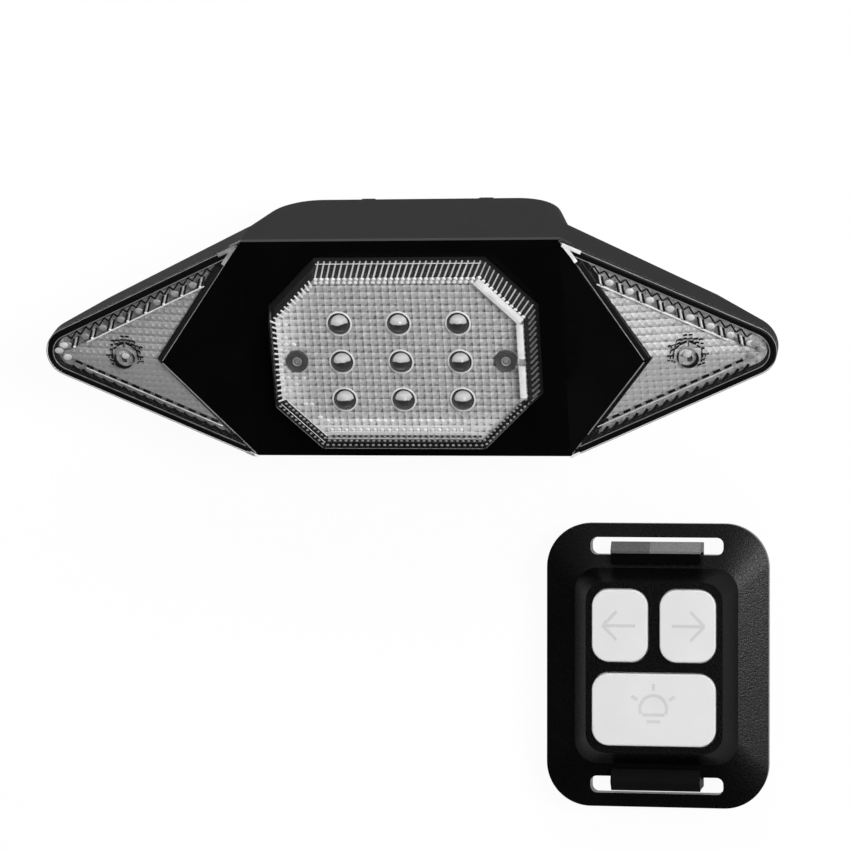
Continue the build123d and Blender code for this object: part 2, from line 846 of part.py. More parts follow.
# Control board on its four posts, with its chip and radio module
with BuildPart() as control_board:
    with BuildSketch(Plane.XY.offset(standoff_level)):
        Rectangle(2 * control_half_width, 2 * control_half_height)
        with Locations(*face_screw_places):
            Circle(pillar_radius + reflector_clearance, mode=Mode.SUBTRACT)
    extrude(amount=board_thickness)
    with BuildSketch(Plane.XY.offset(control_level)):
        Rectangle(chip_size, chip_size)
    extrude(amount=chip_height)
    with BuildSketch(Plane.XY.offset(control_level)):
        with Locations((-chip_size, control_half_height - radio_width)):
            Rectangle(radio_length, radio_width)
    extrude(amount=radio_height)
control_board.part.label = "control_board"

# Power switch and its rubber button, which is pressed upwards into the light
flange_outer_y = -face_half_height + shell_wall + power_flange_gap
flange_inner_y = flange_outer_y + power_flange_thickness
plunger_y = flange_inner_y + power_travel + switch_gap
with BuildPart() as power_switch:
    with BuildSketch(Plane.XY.offset(control_level)):
        with Locations((0, plunger_y + switch_plunger_length)):
            Rectangle(
                2 * switch_half_width,
                switch_length,
                align=(Align.CENTER, Align.MIN),
            )
    extrude(amount=switch_height)
    with BuildSketch(Plane.XZ.offset(-plunger_y)):
        with Locations((0, power_level)):
            Circle(switch_plunger_radius)
    extrude(amount=-switch_plunger_length)
power_switch.part.label = "power_switch"

with BuildPart() as power_button:
    with BuildSketch(Plane.XZ.offset(-flange_inner_y)):
        with Locations((0, power_level)):
            Circle(power_flange_radius)
    extrude(amount=power_flange_thickness)
    with BuildSketch(Plane.XZ.offset(-flange_outer_y)):
        with Locations((0, power_level)):
            Circle(power_radius)
    extrude(amount=power_flange_gap + shell_wall + power_proud)
    fillet(power_button.edges().group_by(Axis.Y)[0], power_dome_radius)
power_button.part.label = "power_button"

# Two cells lying across the bay, with their contacts
with BuildPart() as battery_cells:
    with BuildSketch(Plane.YZ.offset(-cell_length / 2)):
        with Locations(*[(y, cell_level) for y in cell_rows]):
            Circle(cell_radius)
    extrude(amount=cell_length - cell_button_height)
    for side, y in zip((1, -1), cell_rows):
        with BuildSketch(Plane.YZ.offset(side * cell_length / 2)):
            with Locations((y, cell_level)):
                Circle(cell_button_radius)
        extrude(amount=-side * cell_button_height)
battery_cells.part.label = "battery_cells"

with BuildPart() as battery_contacts:
    for side in (1, -1):
        contact_plane = Plane.YZ.offset(side * (bay_half_length - bay_end_clearance))
        with BuildSketch(contact_plane):
            with Locations((bay_center_y, cell_level)):
                Rectangle(bay_height - 2 * cell_clearance, 2 * contact_half_height)
        extrude(amount=-side * contact_thickness)
        with BuildSketch(contact_plane.offset(-side * contact_thickness)):
            with Locations(*[(y, cell_level) for y in cell_rows]):
                Circle(contact_spring_radius)
        extrude(amount=-side * contact_spring_length)
battery_contacts.part.label = "battery_contacts"

with BuildPart() as battery_cover:
    with BuildSketch(Plane.XY.offset(-cover_inner_depth)):
        with Locations((0, cover_center_y)):
            add(cover_plate_face)
    extrude(amount=-hump_depth)
    add(housing_body.part, mode=Mode.INTERSECT)
    with Locations(
        *[
            Location((side * cover_screw_x, cover_center_y, -cover_inner_depth), (180, 0, 0))
            for side in (1, -1)
        ]
    ):
        Cylinder(
            cover_screw_shank_radius + screw_clearance,
            hump_depth,
            mode=Mode.SUBTRACT,
        )
    with Locations(
        *[
            Location(
                (side * cover_screw_x, cover_center_y, -cover_inner_depth - cover_screw_sink),
                (180, 0, 0),
            )
            for side in (1, -1)
        ]
    ):
        Cylinder(
            cover_screw_head_radius + head_clearance,
            hump_depth,
            align=(Align.CENTER, Align.CENTER, Align.MIN),
            mode=Mode.SUBTRACT,
        )
battery_cover.part.label = "battery_cover"

with BuildPart() as battery_cover_seal:
    with BuildSketch(Plane.XY.offset(-cover_inner_depth)):
        with Locations((0, bay_center_y)):
            add(seal_outer_face)
            add(seal_inner_face, mode=Mode.SUBTRACT)
    extrude(amount=bay_seal_thickness)
battery_cover_seal.part.label = "battery_cover_seal"

with BuildPart() as battery_cover_screws:
    cover_screw_places = [(side * cover_screw_x, cover_center_y) for side in (1, -1)]
    with BuildSketch(Plane.XY.offset(-cover_inner_depth - cover_screw_sink)):
        with Locations(*cover_screw_places):
            Circle(cover_screw_head_radius)
    extrude(amount=-cover_screw_head_height)
    with BuildSketch(Plane.XY.offset(-cover_inner_depth - cover_screw_sink)):
        with Locations(*cover_screw_places):
            Circle(cover_screw_shank_radius)
    extrude(amount=cover_screw_length)
battery_cover_screws.part.label = "battery_cover_screws"

# Screws that hold the face plate, driven from the back of the wings
with BuildPart() as bezel_screws:
    with BuildSketch(Plane.XY.offset(-bezel_screw_length)):
        with Locations(*bezel_screw_places):
            Circle(bezel_screw_head_radius)
    extrude(amount=-bezel_screw_head_height)
    with BuildSketch(Plane.XY.offset(-bezel_screw_length)):
        with Locations(*bezel_screw_places):
            Circle(bezel_screw_shank_radius)
    extrude(amount=bezel_screw_length)
bezel_screws.part.label = "bezel_screws"

# Saddle for a seat post, with hooks for a rubber ring, and its soft pad
saddle_middle = (saddle_bottom + saddle_top) / 2
with BuildPart() as post_saddle:
    with BuildSketch(Plane.XZ.offset(-saddle_top)):
        with Locations((0, saddle_plane)):
            Rectangle(
                2 * saddle_half_width,
                saddle_height,
                align=(Align.CENTER, Align.MAX),
            )
        with Locations((0, post_center_z)):
            Circle(post_groove_radius, mode=Mode.SUBTRACT)
    extrude(amount=saddle_top - saddle_bottom)
    with BuildSketch(Plane.YZ.offset(-saddle_half_width)):
        with BuildLine():
            Polyline(
                (saddle_bottom, saddle_plane),
                (saddle_bottom + saddle_chamfer, saddle_plane),
                (saddle_bottom, saddle_plane - saddle_chamfer_height),
                close=True,
            )
        make_face()
    extrude(amount=2 * saddle_half_width, mode=Mode.SUBTRACT)
    fillet(post_saddle.edges().filter_by(Axis.X).group_by(Axis.Z)[0], saddle_edge_radius)
    hook_top = saddle_plane - hook_base_gap
    hook_floor = hook_top - hook_lip_height
    with BuildSketch(Plane.XZ.offset(-saddle_middle)):
        for side in (1, -1):
            with BuildLine():
                Polyline(
                    (side * (saddle_half_width - hook_thickness), hook_floor),
                    (side * (saddle_half_width + hook_reach - hook_thickness), hook_floor),
                    (side * (saddle_half_width + hook_reach - hook_thickness), hook_top),
                    (side * (saddle_half_width + hook_reach), hook_top),
                    (side * (saddle_half_width + hook_reach), hook_floor - hook_arm_thickness),
                    (side * (saddle_half_width - hook_thickness), hook_floor - hook_arm_thickness),
                    close=True,
                )
            make_face()
    extrude(amount=hook_half_length, both=True)
    with Locations(*[Location((0, y, saddle_rear), (180, 0, 0)) for y in saddle_screw_rows]):
        Hole(saddle_screw_shank_radius + screw_clearance)
    saddle_web = post_center_z + post_groove_radius
    head_seat = saddle_web + saddle_screw_head_height
    with BuildSketch(Plane.XY.offset(head_seat)):
        with Locations(*[(0, y) for y in saddle_screw_rows]):
            Circle(saddle_screw_head_radius + head_clearance)
    extrude(amount=-saddle_height, mode=Mode.SUBTRACT)
post_saddle.part.label = "post_saddle"

with BuildPart() as post_saddle_screws:
    with BuildSketch(Plane.XY.offset(head_seat)):
        with Locations(*[(0, y) for y in saddle_screw_rows]):
            Circle(saddle_screw_head_radius)
    extrude(amount=-saddle_screw_head_height)
    with BuildSketch(Plane.XY.offset(head_seat)):
        with Locations(*[(0, y) for y in saddle_screw_rows]):
            Circle(saddle_screw_shank_radius)
    extrude(amount=saddle_screw_length)
post_saddle_screws.part.label = "post_saddle_screws"

with BuildPart() as post_saddle_pad:
    with BuildSketch(Plane.XZ.offset(-saddle_top + post_pad_inset)):
        with Locations((0, post_center_z)):
            Circle(post_groove_radius)
            Circle(post_radius, mode=Mode.SUBTRACT)
        with Locations((0, saddle_rear)):
            Rectangle(
                2 * post_groove_radius,
                2 * post_groove_radius,
                align=(Align.CENTER, Align.MIN),
                mode=Mode.INTERSECT,
            )
    extrude(amount=saddle_top - saddle_bottom - 2 * post_pad_inset)
post_saddle_pad.part.label = "post_saddle_pad"

# Remote: flange, sloping shoulder and raised middle with three button mouths
ceiling_level = top_level - top_wall
rise_share = (ceiling_level - shoulder_level) / (top_level - shoulder_level)
ceiling_half_width = shoulder_half_width - rise_share * (shoulder_half_width - top_half_width)
ceiling_half_height = shoulder_half_height - rise_share * (shoulder_half_height - top_half_height)
remote_flat_face = rounded_face(remote_half_width, remote_half_height, remote_corner_radius)
shoulder_face = rounded_face(shoulder_half_width, shoulder_half_height, shoulder_radius)
top_face = rounded_face(top_half_width, top_half_height, top_radius)
room_face = rounded_face(
    shoulder_half_width - remote_wall, shoulder_half_height - remote_wall, shoulder_radius - remote_wall
)
ceiling_face = rounded_face(
    ceiling_half_width - remote_wall, ceiling_half_height - remote_wall, top_radius - remote_wall
)


def button_face(low_x, high_x, low_y, high_y, growth):
    """Button outline, grown all round"""
    with BuildSketch() as face:
        with Locations(((low_x + high_x) / 2, (low_y + high_y) / 2)):
            RectangleRounded(
                high_x - low_x + 2 * growth,
                high_y - low_y + 2 * growth,
                button_radius + growth,
            )
    return face.sketch


def slot_face(side):
    """Strap slot beside one end of the remote"""
    with BuildSketch() as face:
        with Locations((0, side * (strap_slot_start + strap_slot_end) / 2)):
            RectangleRounded(
                2 * strap_slot_half_width,
                strap_slot_end - strap_slot_start,
                strap_slot_radius,
            )
    return face.sketch


button_spans = {
    "left_arrow_button": (-button_side, -button_gap_half, button_low_y, button_top_y),
    "right_arrow_button": (button_gap_half, button_side, button_low_y, button_top_y),
    "lamp_button": (-button_side, button_side, -button_top_y, -button_low_y),
}
mouth_faces = [button_face(*span, button_clearance) for span in button_spans.values()]
slot_faces = [slot_face(side) for side in (1, -1)]

with BuildPart() as remote_room:
    with BuildSketch(Plane.XY.offset(remote_split_level)):
        add(room_face)
    extrude(amount=shoulder_level - remote_split_level)
    with BuildSketch(Plane.XY.offset(shoulder_level)):
        add(room_face)
    with BuildSketch(Plane.XY.offset(ceiling_level)):
        add(ceiling_face)
    loft(ruled=True)

remote_screw_places = [
    (side * remote_screw_x, end * remote_screw_y) for side in (1, -1) for end in (1, -1)
]
room_seal_outer_face = rounded_face(
    shoulder_half_width - remote_wall + remote_seal_offset + remote_seal_width,
    shoulder_half_height - remote_wall + remote_seal_offset + remote_seal_width,
    shoulder_radius - remote_wall + remote_seal_offset + remote_seal_width,
)
room_seal_inner_face = rounded_face(
    shoulder_half_width - remote_wall + remote_seal_offset,
    shoulder_half_height - remote_wall + remote_seal_offset,
    shoulder_radius - remote_wall + remote_seal_offset,
)
with BuildPart() as remote_top_shell:
    with BuildSketch(Plane.XY.offset(remote_split_level)):
        add(remote_flat_face)
    extrude(amount=remote_rim_level - remote_split_level)
    with BuildSketch(Plane.XY.offset(remote_rim_level)):
        add(remote_flat_face)
    with BuildSketch(Plane.XY.offset(shoulder_level)):
        add(shoulder_face)
    loft(ruled=True)
    with BuildSketch(Plane.XY.offset(shoulder_level)):
        add(shoulder_face)
    with BuildSketch(Plane.XY.offset(top_level)):
        add(top_face)
    loft(ruled=True)
    add(remote_room.part, mode=Mode.SUBTRACT)
    with BuildSketch(Plane.XY.offset(ceiling_level - cut_overrun)):
        for mouth in mouth_faces:
            add(mouth)
    extrude(amount=top_wall + 2 * cut_overrun, mode=Mode.SUBTRACT)
    with BuildSketch():
        for slot in slot_faces:
            add(slot)
    extrude(amount=top_level, mode=Mode.SUBTRACT)
    with BuildSketch(Plane.XY.offset(remote_split_level)):
        add(room_seal_outer_face)
    extrude(amount=remote_seal_thickness, mode=Mode.SUBTRACT)
    with Locations(
        *[Location((x, y, remote_split_level), (180, 0, 0)) for x, y in remote_screw_places]
    ):
        Hole(remote_screw_shank_radius, remote_screw_length - remote_screw_head_height)
remote_top_shell.part.label = "remote_top_shell"

with BuildPart() as remote_back_shell:
    with BuildSketch():
        add(remote_flat_face)
        for slot in slot_faces:
            add(slot, mode=Mode.SUBTRACT)
    extrude(amount=remote_split_level)
    with Locations(*[Location((x, y, 0), (180, 0, 0)) for x, y in remote_screw_places]):
        CounterBoreHole(
            remote_screw_shank_radius + screw_clearance,
            remote_screw_head_radius + head_clearance,
            remote_screw_head_height,
        )
remote_back_shell.part.label = "remote_back_shell"

with BuildPart() as remote_seal:
    with BuildSketch(Plane.XY.offset(remote_split_level)):
        add(room_seal_outer_face)
        add(room_seal_inner_face, mode=Mode.SUBTRACT)
    extrude(amount=remote_seal_thickness)
remote_seal.part.label = "remote_seal"

with BuildPart() as remote_screws:
    with BuildSketch():
        with Locations(*remote_screw_places):
            Circle(remote_screw_head_radius)
    extrude(amount=remote_screw_head_height)
    with BuildSketch():
        with Locations(*remote_screw_places):
            Circle(remote_screw_shank_radius)
    extrude(amount=remote_screw_length)
remote_screws.part.label = "remote_screws"

# Three keys: cap, a collar held under the ceiling, and a stem above its switch
collar_top = ceiling_level - button_flange_gap
collar_bottom = collar_top - button_flange_thickness
stem_bottom = collar_bottom - stem_length
key_bottom = remote_split_level + coin_thickness + remote_board_gap + remote_board_thickness
key_top = stem_bottom - button_travel - stem_gap


def key_stems(span):
    """Places of the stems under a key, two under the wide one"""
    low_x, high_x, low_y, high_y = span
    middle = (low_x + high_x) / 2
    spread = max(0, (high_x - low_x) / 2 - button_side / 2)
    xs = (middle - spread, middle + spread) if spread > button_radius else (middle,)
    return [(x, (low_y + high_y) / 2) for x in xs]


def make_key(span):
    """One key of the remote"""
    cap_face = button_face(*span, 0)
    collar_face = button_face(*span, button_flange_reach)
    with BuildPart() as key:
        with BuildSketch(Plane.XY.offset(collar_bottom)):
            add(collar_face)
        extrude(amount=button_flange_thickness)
        with BuildSketch(Plane.XY.offset(collar_top)):
            add(cap_face)
        extrude(amount=top_level + button_proud - collar_top)
        fillet(key.edges().group_by(Axis.Z)[-1], button_edge_radius)
        with BuildSketch(Plane.XY.offset(stem_bottom)):
            with Locations(*key_stems(span)):
                Circle(stem_radius)
        extrude(amount=stem_length)
    return key.part


left_key = make_key(button_spans["left_arrow_button"])
right_key = make_key(button_spans["right_arrow_button"])
wide_key = make_key(button_spans["lamp_button"])

with BuildPart() as left_arrow_button:
    add(left_key)
left_arrow_button.part.label = "left_arrow_button"

with BuildPart() as right_arrow_button:
    add(right_key)
right_arrow_button.part.label = "right_arrow_button"

with BuildPart() as lamp_button:
    add(wide_key)
lamp_button.part.label = "lamp_button"

key_places = [place for span in button_spans.values() for place in key_stems(span)]
with BuildPart() as remote_switches:
    with BuildSketch(Plane.XY.offset(key_bottom)):
        with Locations(*key_places):
            Rectangle(2 * key_half_width, 2 * key_half_width)
    extrude(amount=key_top - key_bottom)
remote_switches.part.label = "remote_switches"

board_face = rounded_face(
    shoulder_half_width - remote_wall - remote_board_clearance,
    shoulder_half_height - remote_wall - remote_board_clearance,
    shoulder_radius - remote_wall,
)
with BuildPart() as remote_board:
    with BuildSketch(Plane.XY.offset(key_bottom - remote_board_thickness)):
        add(board_face)
    extrude(amount=remote_board_thickness)
remote_board.part.label = "remote_board"

with BuildPart() as coin_cell:
    with BuildSketch(Plane.XY.offset(remote_split_level)):
        Circle(coin_radius)
    extrude(amount=coin_thickness)
    fillet(coin_cell.edges().group_by(Axis.Z)[0], coin_edge_radius)
coin_cell.part.label = "coin_cell"

with BuildPart() as cell_clip:
    with BuildSketch(Plane.XY.offset(key_bottom - remote_board_thickness)):
        Circle(coin_radius + clip_clearance + clip_wall)
        Circle(coin_radius + clip_clearance, mode=Mode.SUBTRACT)
        with Locations((0, -coin_radius)):
            Rectangle(clip_opening, coin_radius, mode=Mode.SUBTRACT)
    extrude(amount=-clip_height)
cell_clip.part.label = "cell_clip"

# Bracket: plate under the remote, two latches up through the slots, and a saddle for the bar
bar_groove_radius = bar_radius + bar_pad_thickness
bar_center_z = -bracket_plate - bar_groove_radius
with BuildPart() as bar_bracket:
    with BuildSketch(Plane.XY.offset(-bracket_plate)):
        Rectangle(2 * bracket_half_length, 2 * bracket_half_width)
    extrude(amount=bracket_plate)
    with BuildSketch(Plane.YZ.offset(-bracket_half_length)):
        with Locations((0, -bracket_plate)):
            Rectangle(
                2 * bracket_saddle_half_width,
                bracket_drop - bracket_plate,
                align=(Align.CENTER, Align.MAX),
            )
        with Locations((0, bar_center_z)):
            Circle(bar_groove_radius, mode=Mode.SUBTRACT)
    extrude(amount=2 * bracket_half_length)
    fillet(bar_bracket.edges().filter_by(Axis.X).group_by(Axis.Z)[0], bracket_edge_radius)
    with BuildSketch(Plane.YZ.offset(-bracket_half_length)):
        for side in (1, -1):
            with BuildLine():
                Polyline(
                    (side * latch_inner, -bracket_plate),
                    (side * bracket_half_width, -bracket_plate),
                    (side * bracket_half_width, latch_nose_level),
                    (side * latch_slope_y, latch_slope_level),
                    (side * latch_ridge_y, latch_ridge_level),
                    (side * latch_nose_y, latch_nose_root),
                    (side * latch_nose_y, latch_nose_level),
                    (side * latch_inner, latch_nose_level),
                    close=True,
                )
            make_face()
    extrude(amount=2 * bracket_half_length)
bar_bracket.part.label = "bar_bracket"

with BuildPart() as bar_bracket_pad:
    with BuildSketch(Plane.YZ.offset(-bracket_half_length + bar_pad_inset)):
        with Locations((0, bar_center_z)):
            Circle(bar_groove_radius)
            Circle(bar_radius, mode=Mode.SUBTRACT)
        with Locations((0, -bracket_drop + bar_pad_inset)):
            Rectangle(
                2 * bar_groove_radius,
                2 * bar_groove_radius,
                align=(Align.CENTER, Align.MIN),
                mode=Mode.INTERSECT,
            )
    extrude(amount=2 * (bracket_half_length - bar_pad_inset))
bar_bracket_pad.part.label = "bar_bracket_pad"

# Both rest on the ground: the light on the saddle's lower rear edge and its own lower back edge
saddle_contact_y = saddle_bottom + saddle_edge_radius
saddle_contact_z = saddle_rear + saddle_edge_radius
body_contact_y = -face_half_height + back_edge_radius
body_contact_z = -hump_depth + back_edge_radius
contact_run = saddle_contact_y - body_contact_y
contact_fall = body_contact_z - saddle_contact_z
contact_span = hypot(contact_run, contact_fall)
tilt = atan2(contact_fall, contact_run) + asin((saddle_edge_radius - back_edge_radius) / contact_span)
light_height = back_edge_radius - body_contact_y * sin(tilt) - body_contact_z * cos(tilt)

light_pieces = [
    rear_housing,
    front_bezel,
    center_lens,
    center_reflector,
    center_lamps,
    center_lamp_board,
    right_wing_lens,
    left_wing_lens,
    right_wing_reflector,
    left_wing_reflector,
    right_wing_lamp,
    left_wing_lamp,
    right_wing_board,
    left_wing_board,
    lens_screws,
    bezel_screws,
    control_board,
    power_switch,
    power_button,
    battery_cells,
    battery_contacts,
    battery_cover,
    battery_cover_seal,
    battery_cover_screws,
    post_saddle,
    post_saddle_screws,
    post_saddle_pad,
]
remote_pieces = [
    remote_top_shell,
    remote_back_shell,
    remote_seal,
    remote_screws,
    left_arrow_button,
    right_arrow_button,
    lamp_button,
    remote_switches,
    remote_board,
    coin_cell,
    cell_clip,
    bar_bracket,
    bar_bracket_pad,
]
light_top_y = max(
    piece.part.moved(Location((0, 0, 0), (tilt * 180 / pi, 0, 0))).bounding_box().max.Y
    for piece in (rear_housing, post_saddle)
)
shift_y = -(light_top_y + remote_y - remote_half_height) / 2
light_rest = Location((0, shift_y, light_height), (tilt * 180 / pi, 0, 0))
remote_rest = Location((remote_x, remote_y + shift_y, bracket_drop))

for pieces, rest in ((light_pieces, light_rest), (remote_pieces, remote_rest)):
    for piece in pieces:
        finished = piece.part.moved(rest)
        finished.label = piece.part.label
        export_step(finished, f"parts/{finished.label}.step")

print("wing tips at", round(tip_x, 2), "tilt", round(tilt * 180 / pi, 2), "height", round(light_height, 2))
print("shift", round(shift_y, 3), "pad arc", round(2 * acos(post_center_beyond / post_radius) * 180 / pi, 1))
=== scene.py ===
import bpy
from math import cos, hypot, pi, radians, sin, tan
from random import random, seed, uniform
from mathutils import Matrix, Vector


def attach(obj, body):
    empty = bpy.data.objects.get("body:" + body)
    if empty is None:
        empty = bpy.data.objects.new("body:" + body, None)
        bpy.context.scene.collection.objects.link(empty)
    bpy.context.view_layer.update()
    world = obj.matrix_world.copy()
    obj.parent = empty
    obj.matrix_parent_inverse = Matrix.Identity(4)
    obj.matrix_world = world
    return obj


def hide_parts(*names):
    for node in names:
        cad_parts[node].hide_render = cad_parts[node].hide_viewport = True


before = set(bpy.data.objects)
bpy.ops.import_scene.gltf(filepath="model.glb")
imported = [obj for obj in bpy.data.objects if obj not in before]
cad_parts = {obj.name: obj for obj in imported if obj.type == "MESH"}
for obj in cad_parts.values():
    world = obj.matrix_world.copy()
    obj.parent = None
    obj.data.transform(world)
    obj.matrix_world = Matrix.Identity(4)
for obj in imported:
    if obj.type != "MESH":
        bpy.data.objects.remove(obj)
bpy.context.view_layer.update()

# Where the light and its remote lie. Sizes are millimetres, in the piece's own frame; turns are radians.
MM = 0.001
TILT = 0.380503
LIGHT_UP = 38.634
LIGHT_BACK = 35.795
REMOTE_AT = (56.0, -38.955, 10.1)
LIGHT_FRAME = Matrix.Translation((0, LIGHT_BACK * MM, LIGHT_UP * MM)) @ Matrix.Rotation(TILT, 4, "X")
REMOTE_FRAME = Matrix.Translation([v * MM for v in REMOTE_AT])

# Sizes of the light's face
FACE_HALF = 37.3
FACE_TOP = 26.8
WING_TURN = 0.4363
TIP_RADIUS = 6.2
NOTCH_X = 56.6
NOTCH_RISE = 7.8
FLANGE_WIDTH = 1.7
FLANGE_LEVEL = 1.5
BEVEL_REACH = 5.1
BEVEL_LEVEL = 3.65
CORNER_X = FACE_HALF + FACE_TOP / tan(WING_TURN)
TIP_CENTER = CORNER_X - TIP_RADIUS / sin(WING_TURN)
FACET_SLOPE = (NOTCH_RISE - BEVEL_LEVEL) / ((CORNER_X - NOTCH_X) * sin(WING_TURN) - BEVEL_REACH)
WING_LAMP_X = 66.2

# Sizes of the middle lens
LENS_HALF = 31.7
LENS_TOP = 22.7
LENS_CUT = 11.7
LENS_HEIGHT = 10.4
LENS_DRAFT = 2.0
RIB_PITCH = 1.43
TRAY_LEVEL = 6.25
TRAY_HALF = 28.9
TRAY_TOP = 19.8
STUD_X = 1.7
STUD_Y = 1.65
WING_STUD = 5 / 3
LAMP_COLUMN_PITCH = 13.9
LAMP_ROW_PITCH = 9.4
LAMP_MIDDLE_Y = -0.4
LAMPS = [
    (column * LAMP_COLUMN_PITCH, LAMP_MIDDLE_Y + row * LAMP_ROW_PITCH)
    for row in (1, 0, -1)
    for column in (-1, 0, 1)
]
WELLS = [(24.5, -0.3), (-24.5, -0.3)]

# Where the tray's painted light grows: a start towards its left and lower edges, and a reach
LEFT_GLOW_START = 21
LEFT_GLOW_REACH = 8
LOW_GLOW_START = 13.4
LOW_GLOW_REACH = 2.4

# Where the painted highlight lies on the bar bracket's upper hook, in the frame that both units share
HOOK_CREST_Y = -12.2
HOOK_MIDDLE_X = 54.7

# Sockets of the Mix node when it mixes colours
COLOR_A = 6
COLOR_B = 7
COLOR_RESULT = 2

# Angles under which an edge is shaded smooth
FINE_SMOOTH = radians(60)
RING_SMOOTH = radians(50)
HEAD_SMOOTH = radians(30)


# Materials
def new_material(name):
    """A material with its nodes, links, shader and Object coordinates"""
    material = bpy.data.materials.new(name)
    material.use_nodes = True
    nodes = material.node_tree.nodes
    place = nodes.new("ShaderNodeTexCoord")
    return material, nodes, material.node_tree.links, nodes["Principled BSDF"], place.outputs["Object"]


def group_sockets(group, inputs, outputs):
    """Gives a node group its sockets; returns its input and output nodes"""
    for name, kind, value in inputs:
        socket = group.interface.new_socket(name, in_out="INPUT", socket_type=kind)
        if value is not None:
            socket.default_value = value
    for name in outputs:
        group.interface.new_socket(name, in_out="OUTPUT", socket_type="NodeSocketFloat")
    return group.nodes.new("NodeGroupInput"), group.nodes.new("NodeGroupOutput")


def calculate(tree, operation, *values):
    """A Math node fed by sockets or numbers; returns its result"""
    node = tree.nodes.new("ShaderNodeMath")
    node.operation = operation
    for socket, value in zip(node.inputs, values):
        if isinstance(value, (int, float)):
            socket.default_value = value
        else:
            tree.links.new(value, socket)
    return node.outputs[0]


def noise(nodes, links, place, scale, detail=2):
    """Noise over a place"""
    texture = nodes.new("ShaderNodeTexNoise")
    texture.inputs["Scale"].default_value = scale
    texture.inputs["Detail"].default_value = detail
    links.new(place, texture.inputs["Vector"])
    return texture.outputs["Fac"]


def grain_group():
    """Fine moulded grain: a height for a bump and a cloud for small changes of tone"""
    group = bpy.data.node_groups.new("moulded grain", "ShaderNodeTree")
    inside, outside = group_sockets(
        group,
        [("Place", "NodeSocketVector", None), ("Fineness", "NodeSocketFloat", 3500)],
        ("Height", "Cloud"),
    )
    nodes, links = group.nodes, group.links
    fine = nodes.new("ShaderNodeTexNoise")
    fine.inputs["Detail"].default_value = 3
    cells = nodes.new("ShaderNodeTexVoronoi")
    for texture in (fine, cells):
        links.new(inside.outputs["Place"], texture.inputs["Vector"])
        links.new(inside.outputs["Fineness"], texture.inputs["Scale"])
    cloud = noise(nodes, links, inside.outputs["Place"], 90, 4)
    height = calculate(group, "MULTIPLY_ADD", cells.outputs["Distance"], 0.6, fine.outputs["Fac"])
    links.new(height, outside.inputs["Height"])
    links.new(cloud, outside.inputs["Cloud"])
    return group


def stud_group():
    """Place within one stud of a moulded sheet on the tilted face: a diagonal share for its painted light
    and shade, its dot, and where it is
    """
    group = bpy.data.node_groups.new("moulded studs", "ShaderNodeTree")
    inside, outside = group_sockets(
        group,
        [
            ("Place", "NodeSocketVector", None),
            ("Pitch X", "NodeSocketFloat", STUD_X),
            ("Pitch Y", "NodeSocketFloat", STUD_Y),
        ],
        ("Shine", "Dot", "Across", "Up", "Height"),
    )
    nodes, links = group.nodes, group.links
    turned = nodes.new("ShaderNodeMapping")
    turned.vector_type = "TEXTURE"
    turned.inputs["Location"].default_value = (0, LIGHT_BACK * MM, LIGHT_UP * MM)
    turned.inputs["Rotation"].default_value = (TILT, 0, 0)
    turned.inputs["Scale"].default_value = (MM, MM, MM)
    links.new(inside.outputs["Place"], turned.inputs["Vector"])
    split = nodes.new("ShaderNodeSeparateXYZ")
    links.new(turned.outputs["Vector"], split.inputs["Vector"])
    cell = []
    for axis, pitch in (("X", "Pitch X"), ("Y", "Pitch Y")):
        share = calculate(group, "DIVIDE", split.outputs[axis], inside.outputs[pitch])
        cell.append(calculate(group, "SUBTRACT", calculate(group, "FRACT", share), 0.5))
    links.new(calculate(group, "SUBTRACT", cell[1], cell[0]), outside.inputs["Shine"])
    squares = [calculate(group, "MULTIPLY", value, value) for value in cell]
    reach = calculate(group, "SQRT", calculate(group, "ADD", *squares))
    links.new(reach, outside.inputs["Dot"])
    for axis, name in (("X", "Across"), ("Y", "Up"), ("Z", "Height")):
        links.new(split.outputs[axis], outside.inputs[name])
    return group


GRAIN = grain_group()
STUDS = stud_group()


def tone_ramp(nodes, stops):
    """Greys along a ramp, each stop a place and a level"""
    ramp = nodes.new("ShaderNodeValToRGB")
    elements = ramp.color_ramp.elements
    while len(elements) < len(stops):
        elements.new(0.5)
    for element, (position, level) in zip(elements, stops):
        element.position = position
        element.color = (*level, 1) if isinstance(level, tuple) else (level, level, level, 1)
    return ramp


def spread(nodes, links, source, low, high, start=0.0, end=1.0):
    """A value between start and end turned into a range"""
    node = nodes.new("ShaderNodeMapRange")
    node.inputs["From Min"].default_value = start
    node.inputs["From Max"].default_value = end
    node.inputs["To Min"].default_value = low
    node.inputs["To Max"].default_value = high
    links.new(source, node.inputs["Value"])
    return node.outputs["Result"]


def lay_group(nodes, links, place, tree, values):
    """A node group over a place, with values for its other sockets; returns its outputs"""
    node = nodes.new("ShaderNodeGroup")
    node.node_tree = tree
    for name, value in values.items():
        node.inputs[name].default_value = value
    links.new(place, node.inputs["Place"])
    return node.outputs


def turn_grey(nodes, links, share, color, level):
    """A colour turned to a level of grey by a share"""
    mix = nodes.new("ShaderNodeMix")
    mix.data_type = "RGBA"
    links.new(share, mix.inputs["Factor"])
    links.new(color, mix.inputs[COLOR_A])
    mix.inputs[COLOR_B].default_value = (level, level, level, 1)
    return mix.outputs[COLOR_RESULT]


